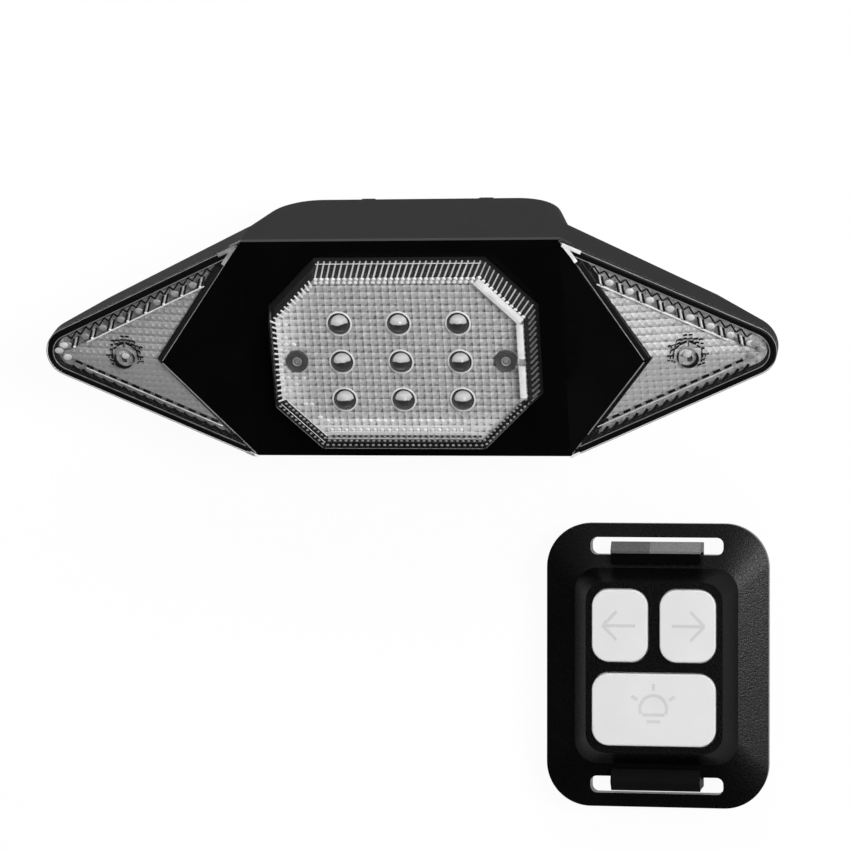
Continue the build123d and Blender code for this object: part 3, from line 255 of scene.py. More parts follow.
def moulded_plastic(name, dark, light, roughness, fineness, bump, specular=0.5, sparkle=0):
    """Plastic or rubber with moulded grain and a slightly uneven tone"""
    material, nodes, links, shader, place = new_material(name)
    grain = lay_group(nodes, links, place, GRAIN, {"Fineness": fineness})
    tone = tone_ramp(nodes, [(0.3, dark), (0.7, light)])
    links.new(grain["Cloud"], tone.inputs["Fac"])
    links.new(tone.outputs["Color"], shader.inputs["Base Color"])
    spots = grain["Height" if sparkle else "Cloud"]
    sheen = spread(nodes, links, spots, roughness - 0.06 - sparkle, roughness + 0.06 + sparkle)
    links.new(sheen, shader.inputs["Roughness"])
    relief = nodes.new("ShaderNodeBump")
    relief.inputs["Strength"].default_value = bump
    relief.inputs["Distance"].default_value = 0.0001
    links.new(grain["Height"], relief.inputs["Height"])
    links.new(relief.outputs["Normal"], shader.inputs["Normal"])
    shader.inputs["Specular IOR Level"].default_value = specular
    return material


def clear_plastic(name, facing_alpha, edge_alpha, tone, roughness=0.05):
    """Clear moulded plastic: see-through face on, a little cloudier at a slant"""
    material, nodes, links, shader, place = new_material(name)
    weight = nodes.new("ShaderNodeLayerWeight")
    weight.inputs["Blend"].default_value = 0.3
    cover = spread(nodes, links, weight.outputs["Facing"], facing_alpha, edge_alpha)
    links.new(cover, shader.inputs["Alpha"])
    haze = noise(nodes, links, place, 260)
    polish = spread(nodes, links, haze, roughness, roughness + 0.08)
    links.new(polish, shader.inputs["Roughness"])
    shader.inputs["Base Color"].default_value = (tone, tone, tone, 1)
    shader.inputs["Specular IOR Level"].default_value = 0.25
    return material


def metal_and_painted_highlights(name, dark, light, roughness, metallic, fineness=500):
    """Metal or metallised plastic with a faint cloudiness; with no metal in it, it paints highlights"""
    material, nodes, links, shader, place = new_material(name)
    cloud = noise(nodes, links, place, fineness, 5)
    tone = tone_ramp(nodes, [(0.35, dark), (0.65, light)])
    links.new(cloud, tone.inputs["Fac"])
    links.new(tone.outputs["Color"], shader.inputs["Base Color"])
    shader.inputs["Metallic"].default_value = metallic
    links.new(spread(nodes, links, cloud, roughness, roughness + 0.12), shader.inputs["Roughness"])
    return material


def silver_with_painted_light(name, pitch_x, pitch_y, shine_stops, dots, painted_shade_level, glow):
    """Silvered sheet of studs with painted light and shade: light on one side of each stud, dark strokes
    on the other

    dots: a painted highlight dot's radius as a share of a stud, its brightness, and 1 or -1 for the half
    that has dots
    glow: the extra painted light at the left edge, at the lower edge and over the lower half
    """
    material, nodes, links, shader, place = new_material(name)
    tree = material.node_tree
    studs = lay_group(nodes, links, place, STUDS, {"Pitch X": pitch_x, "Pitch Y": pitch_y})
    speckle = noise(nodes, links, place, 1400, 4)
    uneven = calculate(tree, "MULTIPLY", calculate(tree, "SUBTRACT", speckle, 0.5), 0.9)
    shine = calculate(tree, "ADD", calculate(tree, "MULTIPLY_ADD", studs["Shine"], 0.5, 0.5), uneven)
    tone = tone_ramp(nodes, shine_stops)
    links.new(shine, tone.inputs["Fac"])
    dot_radius, dot_level, dot_half = dots
    dot = calculate(tree, "MULTIPLY", calculate(tree, "LESS_THAN", studs["Dot"], dot_radius), dot_level)
    upper = calculate(tree, "GREATER_THAN", calculate(tree, "MULTIPLY", studs["Up"], dot_half), 0)
    glows = []
    for axis, start, reach, level in (
        ("Across", LEFT_GLOW_START, LEFT_GLOW_REACH, glow[0]),
        ("Up", LOW_GLOW_START, LOW_GLOW_REACH, glow[1]),
    ):
        near = calculate(tree, "MULTIPLY_ADD", studs[axis], -1 / reach, -start / reach)
        glows.append(calculate(tree, "MULTIPLY", calculate(tree, "MINIMUM", near, 1), level))
    edge_glow = calculate(tree, "MAXIMUM", calculate(tree, "MAXIMUM", *glows), 0)
    lit = calculate(tree, "MULTIPLY", edge_glow, shine)
    lit = calculate(tree, "ADD", lit, calculate(tree, "MULTIPLY_ADD", upper, -glow[2], glow[2]))
    share = calculate(tree, "ADD", calculate(tree, "MULTIPLY", dot, upper), lit)
    bright = turn_grey(nodes, links, calculate(tree, "MINIMUM", share, 1), tone.outputs["Color"], 0.86)
    # Painted shade: where the height in the light's frame is under a given level, the sheet is painted
    # near black
    painted_shade_below = calculate(tree, "LESS_THAN", studs["Height"], painted_shade_level)
    links.new(turn_grey(nodes, links, painted_shade_below, bright, 0.004), shader.inputs["Base Color"])
    links.new(spread(nodes, links, speckle, 0.25, 0.5), shader.inputs["Roughness"])
    shader.inputs["Metallic"].default_value = 0.15
    shader.inputs["Specular IOR Level"].default_value = 0.2
    return material


def dome_with_painted_reflection(name, pitch, middle, tones):
    """Clear lamp dome with a painted reflection: a light cap above a dark foot, as the mirrored room would
    lie in it, and a painted dark rim
    """
    material, nodes, links, shader, place = new_material(name)
    tree = material.node_tree
    studs = lay_group(nodes, links, place, STUDS, {})
    share = calculate(tree, "MULTIPLY_ADD", studs["Up"], 1 / pitch, 0.5 - middle / pitch)
    haze = noise(nodes, links, place, 420)
    ripple = calculate(tree, "MULTIPLY_ADD", haze, 0.14, -0.07)
    height = calculate(tree, "ADD", calculate(tree, "FRACT", share), ripple)
    tone = tone_ramp(nodes, tones)
    links.new(height, tone.inputs["Fac"])
    # Painted shade: the dome's rim turns dark where it slants away
    weight = nodes.new("ShaderNodeLayerWeight")
    weight.inputs["Blend"].default_value = 0.5
    rim = spread(nodes, links, weight.outputs["Facing"], 0.0, 1.0, 0.36, 0.46)
    links.new(turn_grey(nodes, links, rim, tone.outputs["Color"], 0.03), shader.inputs["Base Color"])
    links.new(spread(nodes, links, haze, 0.05, 0.15), shader.inputs["Roughness"])
    shader.inputs["Specular IOR Level"].default_value = 0.25
    return material


def hook_with_painted_highlight(name):
    """Dark plastic of the bar bracket, with a painted highlight on the crest of its upper hook: a lighter
    grey there, more on its right half
    """
    material, nodes, links, shader, place = new_material(name)
    tree = material.node_tree
    split = nodes.new("ShaderNodeSeparateXYZ")
    links.new(place, split.inputs["Vector"])
    grain = lay_group(nodes, links, place, GRAIN, {"Fineness": 2600})
    crest = calculate(tree, "GREATER_THAN", split.outputs["Y"], HOOK_CREST_Y * MM)
    right = calculate(tree, "GREATER_THAN", split.outputs["X"], HOOK_MIDDLE_X * MM)
    # Painted highlight: the crest above HOOK_CREST_Y is lighter, more so right of HOOK_MIDDLE_X
    painted_lit_crest = calculate(tree, "MULTIPLY", crest, calculate(tree, "MULTIPLY_ADD", right, 0.4, 0.5))
    speckle = calculate(tree, "MULTIPLY_ADD", grain["Height"], 0.7, 0.45)
    share = calculate(tree, "MULTIPLY", painted_lit_crest, speckle)
    tone = tone_ramp(nodes, [(0.0, 0.002), (1.0, 0.19)])
    links.new(share, tone.inputs["Fac"])
    links.new(tone.outputs["Color"], shader.inputs["Base Color"])
    links.new(spread(nodes, links, grain["Cloud"], 0.45, 0.6), shader.inputs["Roughness"])
    shader.inputs["Specular IOR Level"].default_value = 0.03
    return material


housing_plastic = moulded_plastic("housing plastic", 0.012, 0.0165, 0.66, 3200, 0.4, 0.07)
remote_plastic = moulded_plastic("remote plastic", 0.0012, 0.002, 0.21, 2600, 0.42, 0.13, 0.1)
hook_plastic = hook_with_painted_highlight("bar hook plastic")
face_plastic = moulded_plastic("gloss face plastic", 0.0015, 0.0021, 0.14, 900, 0.01, 0.05)
button_plastic = moulded_plastic("white button plastic", 0.62, 0.66, 0.5, 2500, 0.12, 0.25)
# A darker grey that paints the shade inside the buttons' sunk marks
painted_groove_shade = moulded_plastic("sunk mark", 0.5, 0.56, 0.6, 2500, 0.1, 0.2)
rubber = moulded_plastic("soft rubber", 0.009, 0.013, 0.8, 1800, 0.4, 0.3)
seal_rubber = moulded_plastic("seal rubber", 0.02, 0.03, 0.7, 1500, 0.3)
laminate = moulded_plastic("board laminate", (0.006, 0.009, 0.007), (0.01, 0.014, 0.011), 0.45, 1200, 0.15)
switch_plastic = moulded_plastic("switch plastic", 0.01, 0.016, 0.5, 2000, 0.2)
clip_plastic = moulded_plastic("clip plastic", (0.55, 0.54, 0.5), (0.62, 0.61, 0.57), 0.5, 2000, 0.15)
jacket_plastic = moulded_plastic("cell jacket", 0.22, 0.28, 0.3, 700, 0.05)
# Near-black lines that paint shade where the clear lenses look dark: wing edges, teeth, notch, lamp rings,
# and beads and rows on shaded walls
painted_shade_line = moulded_plastic("painted shade line", 0.002, 0.004, 0.4, 1500, 0.1, 0.1)
washer_grey = moulded_plastic("screw washer", 0.045, 0.07, 0.5, 1500, 0.2, 0.2)
clear_shell = clear_plastic("clear shell", 0.025, 0.2, 0.12)
wing_shell = clear_plastic("clear wing shell", 0.025, 0.22, 0.14)
# One clear rib twice: a bright copy painted as lit and a dim copy painted as shaded
bright_painted_rib = clear_plastic("clear rib", 0.75, 0.9, 0.68, 0.12)
dim_painted_rib = clear_plastic("dim painted rib", 0.35, 0.6, 0.3, 0.12)
# Painted highlights in bright, dim and soft greys on edges, beads, glints and blobs; the dim grey also
# colours the face screws' rims and studs
painted_bright_highlight = metal_and_painted_highlights("lit edge", 0.72, 0.88, 0.25, 0.0)
grey_and_dim_highlight = metal_and_painted_highlights("grey edge", 0.2, 0.3, 0.3, 0.0)
painted_soft_highlight = metal_and_painted_highlights("painted soft highlight", 0.45, 0.6, 0.3, 0.0)
painted_reflection_resin = dome_with_painted_reflection(
    "lamp resin",
    LAMP_ROW_PITCH,
    LAMP_MIDDLE_Y,
    [
        (0.3, 0.42),
        (0.36, 0.12),
        (0.41, 0.03),
        (0.545, 0.02),
        (0.565, 0.5),
        (0.66, 0.6),
        (0.74, 0.45),
        (0.78, 0.3),
    ],
)
screw_steel = metal_and_painted_highlights("screw steel", 0.35, 0.5, 0.3, 1.0, 1500)
contact_steel = metal_and_painted_highlights("contact steel", 0.5, 0.6, 0.25, 1.0, 900)
# The tray's silver: painted light and shade on each stud, and painted light towards its left and lower
# edges
tray_with_painted_light = silver_with_painted_light(
    "studded tray silver",
    STUD_X,
    STUD_Y,
    [(0.0, 0.1), (0.2, 0.2), (0.33, 0.42), (0.62, 0.5), (0.82, 0.72), (1.0, 0.85)],
    (0.0, 0.0, 1),
    6.1,
    (1.9, 1.7, 0.0),
)
# One wing silver twice, with painted light and shade on each stud and extra painted light over the lower
# half: the left copy painted darker as shade, the right one lighter as lit
left_wing_painted_shade = silver_with_painted_light(
    "left wing silver",
    WING_STUD,
    WING_STUD,
    [(0.0, 0.19), (0.25, 0.29), (0.5, 0.33), (0.8, 0.37), (1.0, 0.48)],
    (0.17, 0.3, 1),
    -10,
    (0.0, 0.0, 0.12),
)
right_wing_painted_light = silver_with_painted_light(
    "right wing silver",
    WING_STUD,
    WING_STUD,
    [(0.0, 0.16), (0.16, 0.24), (0.26, 0.42), (0.7, 0.51), (1.0, 0.75)],
    (0.13, 0.35, 1),
    -10,
    (0.0, 0.0, 0.12),
)

NODE_FINISH = {
    "rear_housing": housing_plastic,
    "battery_cover": housing_plastic,
    "post_saddle": housing_plastic,
    "front_bezel": face_plastic,
    "center_lens": clear_shell,
    "right_wing_lens": wing_shell,
    "left_wing_lens": wing_shell,
    "center_reflector": tray_with_painted_light,
    "right_wing_reflector": right_wing_painted_light,
    "left_wing_reflector": left_wing_painted_shade,
    "center_lamps": painted_reflection_resin,
    "right_wing_lamp": painted_reflection_resin,
    "left_wing_lamp": painted_reflection_resin,
    "lens_screws": screw_steel,
    "bezel_screws": screw_steel,
    "battery_cover_screws": screw_steel,
    "post_saddle_screws": screw_steel,
    "remote_screws": screw_steel,
    "battery_cells": jacket_plastic,
    "battery_contacts": contact_steel,
    "coin_cell": contact_steel,
    "cell_clip": clip_plastic,
    "power_switch": switch_plastic,
    "remote_switches": switch_plastic,
    "power_button": rubber,
    "post_saddle_pad": rubber,
    "bar_bracket_pad": rubber,
    "battery_cover_seal": seal_rubber,
    "remote_seal": seal_rubber,
    "remote_top_shell": remote_plastic,
    "remote_back_shell": remote_plastic,
    "bar_bracket": hook_plastic,
    "left_arrow_button": button_plastic,
    "right_arrow_button": button_plastic,
    "lamp_button": button_plastic,
}
for node_name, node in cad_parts.items():
    node.data.materials.clear()
    node.data.materials.append(NODE_FINISH.get(node_name, laminate))


# Modelling
def pick_only(*things):
    """Nothing is selected but these"""
    if bpy.context.mode != "OBJECT":
        bpy.ops.object.mode_set(mode="OBJECT")
    bpy.ops.object.select_all(action="DESELECT")
    for thing in things:
        thing.select_set(True)
    if things:
        bpy.context.view_layer.objects.active = things[0]


def apply_transform():
    """The chosen piece's place, turn and scale become part of its mesh"""
    bpy.ops.object.transform_apply(location=True, rotation=True, scale=True)


def settle(thing, name, where, body, material, smooth=None):
    """Names a piece, lays it in its place with its transform applied, and gives it its finish"""
    pick_only(thing)
    apply_transform()
    thing.matrix_world = where
    apply_transform()
    thing.name = name
    thing.data.name = name
    thing.data.materials.clear()
    thing.data.materials.append(material)
    if smooth is not None:
        bpy.ops.object.shade_smooth_by_angle(angle=smooth)
    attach(thing, body)


def cut_away(thing, point, normal):
    """Takes off what lies beyond a plane"""
    pick_only(thing)
    bpy.ops.object.mode_set(mode="EDIT")
    bpy.ops.mesh.select_all(action="SELECT")
    bpy.ops.mesh.bisect(
        plane_co=[v * MM for v in point], plane_no=normal, clear_outer=True, threshold=1e-7
    )
    bpy.ops.object.mode_set(mode="OBJECT")


def join(pieces):
    """One object made of several"""
    pick_only(*pieces)
    if len(pieces) > 1:
        bpy.ops.object.join()
    return bpy.context.active_object


def copies(pattern, places):
    """One object made of a copy of the pattern at each place; the pattern is taken away"""
    made = []
    for place in places:
        pick_only(pattern)
        bpy.ops.object.duplicate()
        made.append(bpy.context.active_object)
        made[-1].matrix_world = place
    pick_only(pattern)
    bpy.ops.object.delete()
    whole = join(made)
    apply_transform()
    return whole


def mirror_copy(thing):
    """A copy of a piece on the other side of the light"""
    pick_only(thing)
    bpy.ops.object.duplicate()
    other = bpy.context.active_object
    other.scale = (-1, 1, 1)
    apply_transform()
    bpy.ops.object.mode_set(mode="EDIT")
    bpy.ops.mesh.select_all(action="SELECT")
    bpy.ops.mesh.flip_normals()
    bpy.ops.object.mode_set(mode="OBJECT")
    return other


def pick_ends(thing, ends):
    """In edit mode, only a round piece's flat ends are chosen: 1 is the upper one, -1 the lower one"""
    bpy.ops.object.mode_set(mode="EDIT")
    bpy.ops.mesh.select_mode(type="FACE")
    bpy.ops.mesh.select_all(action="DESELECT")
    bpy.ops.object.mode_set(mode="OBJECT")
    for face in thing.data.polygons:
        face.select = any(face.normal.z * end > 0.9 for end in ends)
    bpy.ops.object.mode_set(mode="EDIT")


def rod_pattern(sides):
    """A one millimetre rod with inset flat ends, to be stretched into ribs and lines"""
    pick_only()
    bpy.ops.mesh.primitive_cylinder_add(vertices=sides, radius=0.5 * MM, depth=MM, location=(0, 0, 0))
    rod = bpy.context.active_object
    pick_ends(rod, (1, -1))
    bpy.ops.mesh.inset(thickness=0.12 * MM, use_individual=True)
    bpy.ops.object.mode_set(mode="OBJECT")
    return rod


def rod_place(start, end, width, height):
    """Where a rod goes to run from one point to another"""
    a, b = Vector(start) * MM, Vector(end) * MM
    run = (b - a).normalized()
    side = Vector((0, 0, 1)).cross(run)
    side = side.normalized() if side.length > 1e-6 else Vector((1, 0, 0))
    turn = Matrix((side, run.cross(side), run)).transposed().to_4x4()
    stretch = Matrix.Diagonal((width, height, (b - a).length / MM, 1))
    return Matrix.Translation((a + b) / 2) @ turn @ stretch


def rods(runs, sides=6):
    """Rods along runs, each a start, an end, a width and a height"""
    return copies(rod_pattern(sides), [rod_place(*run) for run in runs])


def beads(spots, size):
    """Small rounded beads, each spot a centre; size is half their length, width and height"""
    pick_only()
    bpy.ops.mesh.primitive_ico_sphere_add(subdivisions=2, radius=MM, location=(0, 0, 0))
    bead = bpy.context.active_object
    stretch = Matrix.Diagonal((*size, 1))
    return copies(bead, [Matrix.Translation(Vector(spot) * MM) @ stretch for spot in spots])


def rings(centers, radius, thickness, flatness=1.0):
    """Thin round rings"""
    pick_only()
    bpy.ops.mesh.primitive_torus_add(
        major_segments=40,
        minor_segments=8,
        major_radius=radius * MM,
        minor_radius=thickness * MM,
        location=(0, 0, 0),
    )
    ring = bpy.context.active_object
    stretch = Matrix.Diagonal((1, 1, flatness, 1))
    return copies(ring, [Matrix.Translation(Vector(center) * MM) @ stretch for center in centers])


def studded_sheet(center, half_x, half_y, pitch_x, pitch_y, height):
    """A sheet of small pyramids"""
    pick_only()
    bpy.ops.mesh.primitive_grid_add(
        x_subdivisions=round(2 * half_x / pitch_x),
        y_subdivisions=round(2 * half_y / pitch_y),
        size=1,
        location=[v * MM for v in center],
    )
    sheet = bpy.context.active_object
    sheet.scale = (2 * half_x * MM, 2 * half_y * MM, 1)
    apply_transform()
    bpy.ops.object.mode_set(mode="EDIT")
    bpy.ops.mesh.select_all(action="SELECT")
    bpy.ops.mesh.poke(offset=height * MM)
    bpy.ops.object.mode_set(mode="OBJECT")
    return sheet


def on_light(thing, name, material, smooth=None):
    """Settles a piece made in the light's own frame"""
    settle(thing, name, LIGHT_FRAME, "light", material, smooth)


def at_level(places, level):
    """Points of the face at one level"""
    return [(x, y, level) for x, y in places]


# Middle lens: studded tray and a ring round each lamp, a painted highlight with a thin dark ring of
# painted shade inside it
TRAY_STUD_HEIGHT = 0.08
TRAY_FOOT = -18.3
TRAY_CORNER_Y = TRAY_TOP - LENS_CUT + 1.4
LAMP_RING_LEVEL = 6.75
LAMP_GAP_LEVEL = 6.72
tray = studded_sheet((0, 0, TRAY_LEVEL), TRAY_HALF, TRAY_TOP, STUD_X, STUD_Y, TRAY_STUD_HEIGHT)
for side in (1, -1):
    for end in (1, -1):
        cut_away(tray, (side * TRAY_HALF, end * TRAY_CORNER_Y, TRAY_LEVEL), (side, end, 0))
cut_away(tray, (0, TRAY_FOOT, TRAY_LEVEL), (0, -1, 0))
on_light(tray, "studded_tray", tray_with_painted_light)
lamp_rings = rings(at_level(LAMPS, LAMP_RING_LEVEL), 2.82, 0.22, 0.8)
on_light(lamp_rings, "lamp_rings", painted_bright_highlight, RING_SMOOTH)
lamp_ring_gaps = rings(at_level(LAMPS, LAMP_GAP_LEVEL), 2.52, 0.12)
on_light(lamp_ring_gaps, "lamp_ring_gaps", painted_shade_line, RING_SMOOTH)


def lens_corner(inset, index):
    """Corner of the eight-sided outline, counted clockwise from the upper right"""
    hx, hy = LENS_HALF - inset, LENS_TOP - inset
    cut = LENS_CUT - inset * (2 - 2**0.5)
    corners = [
        (hx - cut, hy), (hx, hy - cut), (hx, cut - hy), (hx - cut, -hy),
        (cut - hx, -hy), (-hx, cut - hy), (-hx, hy - cut), (cut - hx, hy),
    ]
    return Vector(corners[index % 8])


UPPER_RIGHT, RIGHT, LOWER_RIGHT, BOTTOM, LOWER_LEFT, LEFT, UPPER_LEFT, TOP = range(8)


def on_wall(wall, along, share, depth):
    """Point on a wall of the middle lens: along it, up it as a share, and inwards from its skin"""
    inset = share * LENS_DRAFT + depth
    spot = lens_corner(inset, wall).lerp(lens_corner(inset, wall + 1), along)
    return (spot.x, spot.y, share * LENS_HEIGHT)


def wall_steps(wall):
    """Even steps along a wall, as shares of its length"""
    length = (lens_corner(0, wall + 1) - lens_corner(0, wall)).length
    count = round(length / RIB_PITCH)
    return [(i + 0.5) / count for i in range(count)]


def wall_ribs(wall, low, high, depth, width):
    """Upright ribs of a wall, from one share of its height to another"""
    return [
        (on_wall(wall, step, low, depth), on_wall(wall, step, high, depth), width, width)
        for step in wall_steps(wall)
    ]


def wall_beads(wall, share, depth):
    """Spots for a row of beads along a wall"""
    return [on_wall(wall, step, share, depth) for step in wall_steps(wall)]


def wall_line(wall, share, depth, width, height=None, first=0.01, last=0.99):
    """Line along a wall at a share of its height"""
    ends = [on_wall(wall, along, share, depth) for along in (first, last)]
    return (*ends, width, height or width)


def lens_rods(runs, name, material):
    """Rods of the middle lens as one piece"""
    on_light(rods(runs), name, material, FINE_SMOOTH)


def lens_beads(spots, size, name, material):
    """Beads of the middle lens as one piece"""
    on_light(beads(spots, size), name, material, FINE_SMOOTH)


# Ribs and ticks on the walls: ribs on the top and upper right walls painted bright as lit, on the right,
# left and lower right walls painted dim as shaded; the ticks are painted highlights
lit_ribs = wall_ribs(TOP, 0.06, 0.72, 0.6, 0.42) + wall_ribs(UPPER_RIGHT, 0.06, 0.6, 0.6, 0.36)
lens_rods(lit_ribs, "lens_ribs", bright_painted_rib)
shaded_ribs = wall_ribs(RIGHT, 0.08, 0.5, 0.6, 0.5) + wall_ribs(LEFT, 0.2, 0.6, 0.3, 0.3)
shaded_ribs += wall_ribs(LOWER_RIGHT, 0.1, 0.7, 0.6, 0.35)
lens_rods(shaded_ribs, "lens_soft_ribs", dim_painted_rib)
TICK_SHARE = 0.9
ticks = []
for wall, start, reach in ((LEFT, 0.8, 1.7), (UPPER_LEFT, 0.0, 1.6)):
    for step in wall_steps(wall):
        near, far = (on_wall(wall, step, TICK_SHARE, start + way * reach) for way in (0, 1))
        ticks.append((near, far, 0.42, 0.35))
lens_rods(ticks, "lens_ticks", painted_bright_highlight)

# Beads on the walls, painted highlights on the upper walls, painted shade at the right and dim painted
# highlights low down, and two rows of lit studs low on the tray: their row, first place and last place
STUD_ROWS = ((-15.3, -18.5, 17.0), (-17.6, -17.6, 16.0))
BEAD_SIZE = (0.5, 0.42, 0.3)
RIM_SHARE = 0.93
bright_beads = wall_beads(TOP, 0.76, 0.9) + wall_beads(TOP, 0.88, 1.0) + wall_beads(UPPER_RIGHT, 0.66, 0.8)
for row, first, last in STUD_ROWS:
    count = int((last - first) / STUD_X)
    bright_beads += [(first + i * STUD_X, row, TRAY_LEVEL + 0.2) for i in range(count)]
lens_beads(bright_beads, BEAD_SIZE, "lens_bright_beads", painted_bright_highlight)
dark_beads = wall_beads(RIGHT, 0.66, 0.8) + wall_beads(LOWER_RIGHT, 0.6, 0.5)
lens_beads(dark_beads, BEAD_SIZE, "lens_dark_beads", painted_shade_line)
soft_beads = []
for wall, depths in ((BOTTOM, (0.8, 1.9, 3.0)), (LOWER_RIGHT, (0.7, 1.7)), (LOWER_LEFT, (0.7, 2.2))):
    for depth in depths:
        soft_beads += wall_beads(wall, RIM_SHARE, depth)
lens_beads(soft_beads, (0.36, 0.24, 0.22), "lens_soft_beads", grey_and_dim_highlight)

# Lit edges, and the broad light strips at the right
bright_lines = [
    wall_line(TOP, 0.23, 0.2, 0.2),
    wall_line(BOTTOM, RIM_SHARE, 4.1, 0.18),
    wall_line(LOWER_LEFT, RIM_SHARE, 2.9, 0.14),
    wall_line(LOWER_LEFT, RIM_SHARE, 1.3, 0.14),
    ((-19.0, -16.7, 6.5), (15.0, -16.7, 6.5), 0.14, 0.14),
    wall_line(RIGHT, 0.9, 1.3, 1.7, 0.9, last=0.43),
    wall_line(RIGHT, 0.9, 1.3, 1.7, 0.9, first=0.53, last=0.93),
    wall_line(UPPER_RIGHT, 0.8, 1.2, 2.1, 0.9),
]
lens_rods(bright_lines, "lens_bright_lines", painted_bright_highlight)

# Lit studs at the tray's left, fewer of them to the right and up
LIT_LEFT = -28.6
LIT_RISE = 0.4
CLEAR_OF_SCREW = 3.2
CORNER_SUM = -37.4
seed(11)
lit_studs = []
for column in range(6):
    for row in range(-10, 9):
        x, y = LIT_LEFT + column * STUD_X, row * STUD_Y + LIT_RISE
        fade = 0.05 + column / 6 + max(0, row + 3) / 14
        clear = hypot(x - WELLS[1][0], y - WELLS[1][1]) > CLEAR_OF_SCREW and x + y > CORNER_SUM
        if clear and random() > fade:
            lit_studs.append((x + uniform(-0.2, 0.2), y, TRAY_LEVEL + 0.12))
lens_beads(lit_studs, (0.62, 0.42, 0.14), "lens_lit_studs", painted_bright_highlight)
# Rows of painted shade low on the walls, and dim painted highlights along the walls' top edges
dark_rows = [wall_line(BOTTOM, 0.75, depth, 0.5) for depth in (1.4, 2.6)]
dark_rows += [wall_line(LOWER_LEFT, 0.75, 2.0, 0.9), wall_line(LOWER_RIGHT, 0.75, 1.4, 1.2)]
lens_rods(dark_rows, "lens_dark_rows", painted_shade_line)
grey_lines = [wall_line(wall, 1.0, 0.1, 0.12) for wall in (TOP, BOTTOM, LOWER_LEFT, LOWER_RIGHT)]
lens_rods(grey_lines, "lens_grey_lines", dim_painted_rib)

# Screws in the face: a dark ring with a light middle
HEAD_RADIUS = 2.6
HEAD_DEPTH = 1.9
HEAD_LEVEL = 6.0
SCREW_RIM_LEVEL = 6.95
SCREW_STUD_LEVEL = 6.5
pick_only()
bpy.ops.mesh.primitive_cylinder_add(
    vertices=48, radius=HEAD_RADIUS * MM, depth=HEAD_DEPTH * MM, location=(0, 0, 0)
)
head = bpy.context.active_object
pick_ends(head, (1,))
for inward, rise in ((0.12, 0.1), (1.25, -0.5)):
    bpy.ops.mesh.inset(thickness=inward * MM)
    bpy.ops.transform.translate(value=(0, 0, rise * MM))
bpy.ops.object.mode_set(mode="OBJECT")
heads = copies(head, [Matrix.Translation(Vector(spot) * MM) for spot in at_level(WELLS, HEAD_LEVEL)])
on_light(heads, "face_screw_heads", washer_grey, HEAD_SMOOTH)
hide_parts("lens_screws")
screw_rims = rings(at_level(WELLS, SCREW_RIM_LEVEL), 0.95, 0.2)
on_light(screw_rims, "face_screw_rims", grey_and_dim_highlight, FINE_SMOOTH)
screw_studs = beads(at_level(WELLS, SCREW_STUD_LEVEL), (0.9, 0.9, 0.4))
on_light(screw_studs, "face_screw_studs", grey_and_dim_highlight, FINE_SMOOTH)


# Wings: studded facets, teeth and scallops on the slope, lines along the edges
TRIM_HEIGHT = 0.3
SHEET_MIDDLE = 60
SHEET_HALF = 30
SHEET_TOP = 15
SHEET_DROP = 1.75


def facet_level(x, y, drop):
    """Height of the lens's facet over a point of the wing, less a drop"""
    rise = FACET_SLOPE * (sin(WING_TURN) * (NOTCH_X - x) - cos(WING_TURN) * abs(y))
    return NOTCH_RISE + rise - drop


def slope_level(inset):
    """Height of the slope round the wing lens, a way in from its edge"""
    share = (inset - FLANGE_WIDTH) / (BEVEL_REACH - FLANGE_WIDTH)
    return FLANGE_LEVEL + share * (BEVEL_LEVEL - FLANGE_LEVEL)


def edge_point(inset, along, side, level):
    """Point on the wing's long edge moved inwards, counted from the notch corner to the tip"""
    reach = CORNER_X - inset / sin(WING_TURN)
    start = Vector((FACE_HALF, (reach - FACE_HALF) * tan(WING_TURN)))
    spot = start + Vector((cos(WING_TURN), -sin(WING_TURN))) * along
    return (spot.x, side * spot.y, level)


def on_slope(inset, along, side, lift=0.0):
    """Point on the slope round the wing lens"""
    return edge_point(inset, along, side, slope_level(inset) + lift)


def round_edge(inset, level, width):
    """Rods along the upper edge, round the tip and back along the lower edge of the right wing"""
    first = 1.4 * inset + 0.4
    radius = TIP_RADIUS - inset
    bend = [
        (TIP_CENTER + radius * cos(angle), radius * sin(angle), level)
        for angle in [(pi / 2 - WING_TURN) * (1 - k / 8) for k in range(17)]
    ]
    path = [edge_point(inset, first, 1, level), *bend, edge_point(inset, first, -1, level)]
    return [(a, b, width, min(width, TRIM_HEIGHT)) for a, b in zip(path, path[1:])]


def notch_point(inset, share, side, drop):
    """Point beside the notch's edge, from the corner to the middle, under the facet"""
    normal = Vector((FACE_TOP, NOTCH_X - FACE_HALF)).normalized()
    x = FACE_HALF + share * (NOTCH_X - FACE_HALF) + inset * normal.x
    y = FACE_TOP * (1 - share) + inset * normal.y * (1 - share)
    level = min(facet_level(x, y, drop), NOTCH_RISE * share + 0.2)
    return (x, side * y, level)


def beside_notch(along, across):
    """Point on the wing's face a way down its notch edge from the upper corner, and a way in from it"""
    down = Vector((NOTCH_X - FACE_HALF, -FACE_TOP)).normalized()
    x = FACE_HALF + down.x * along - down.y * across
    y = FACE_TOP + down.y * along + down.x * across
    inset = (FACE_TOP - (x - FACE_HALF) * tan(WING_TURN) - y) * cos(WING_TURN)
    return (x, y, max(FLANGE_LEVEL, slope_level(inset)) + 0.2)


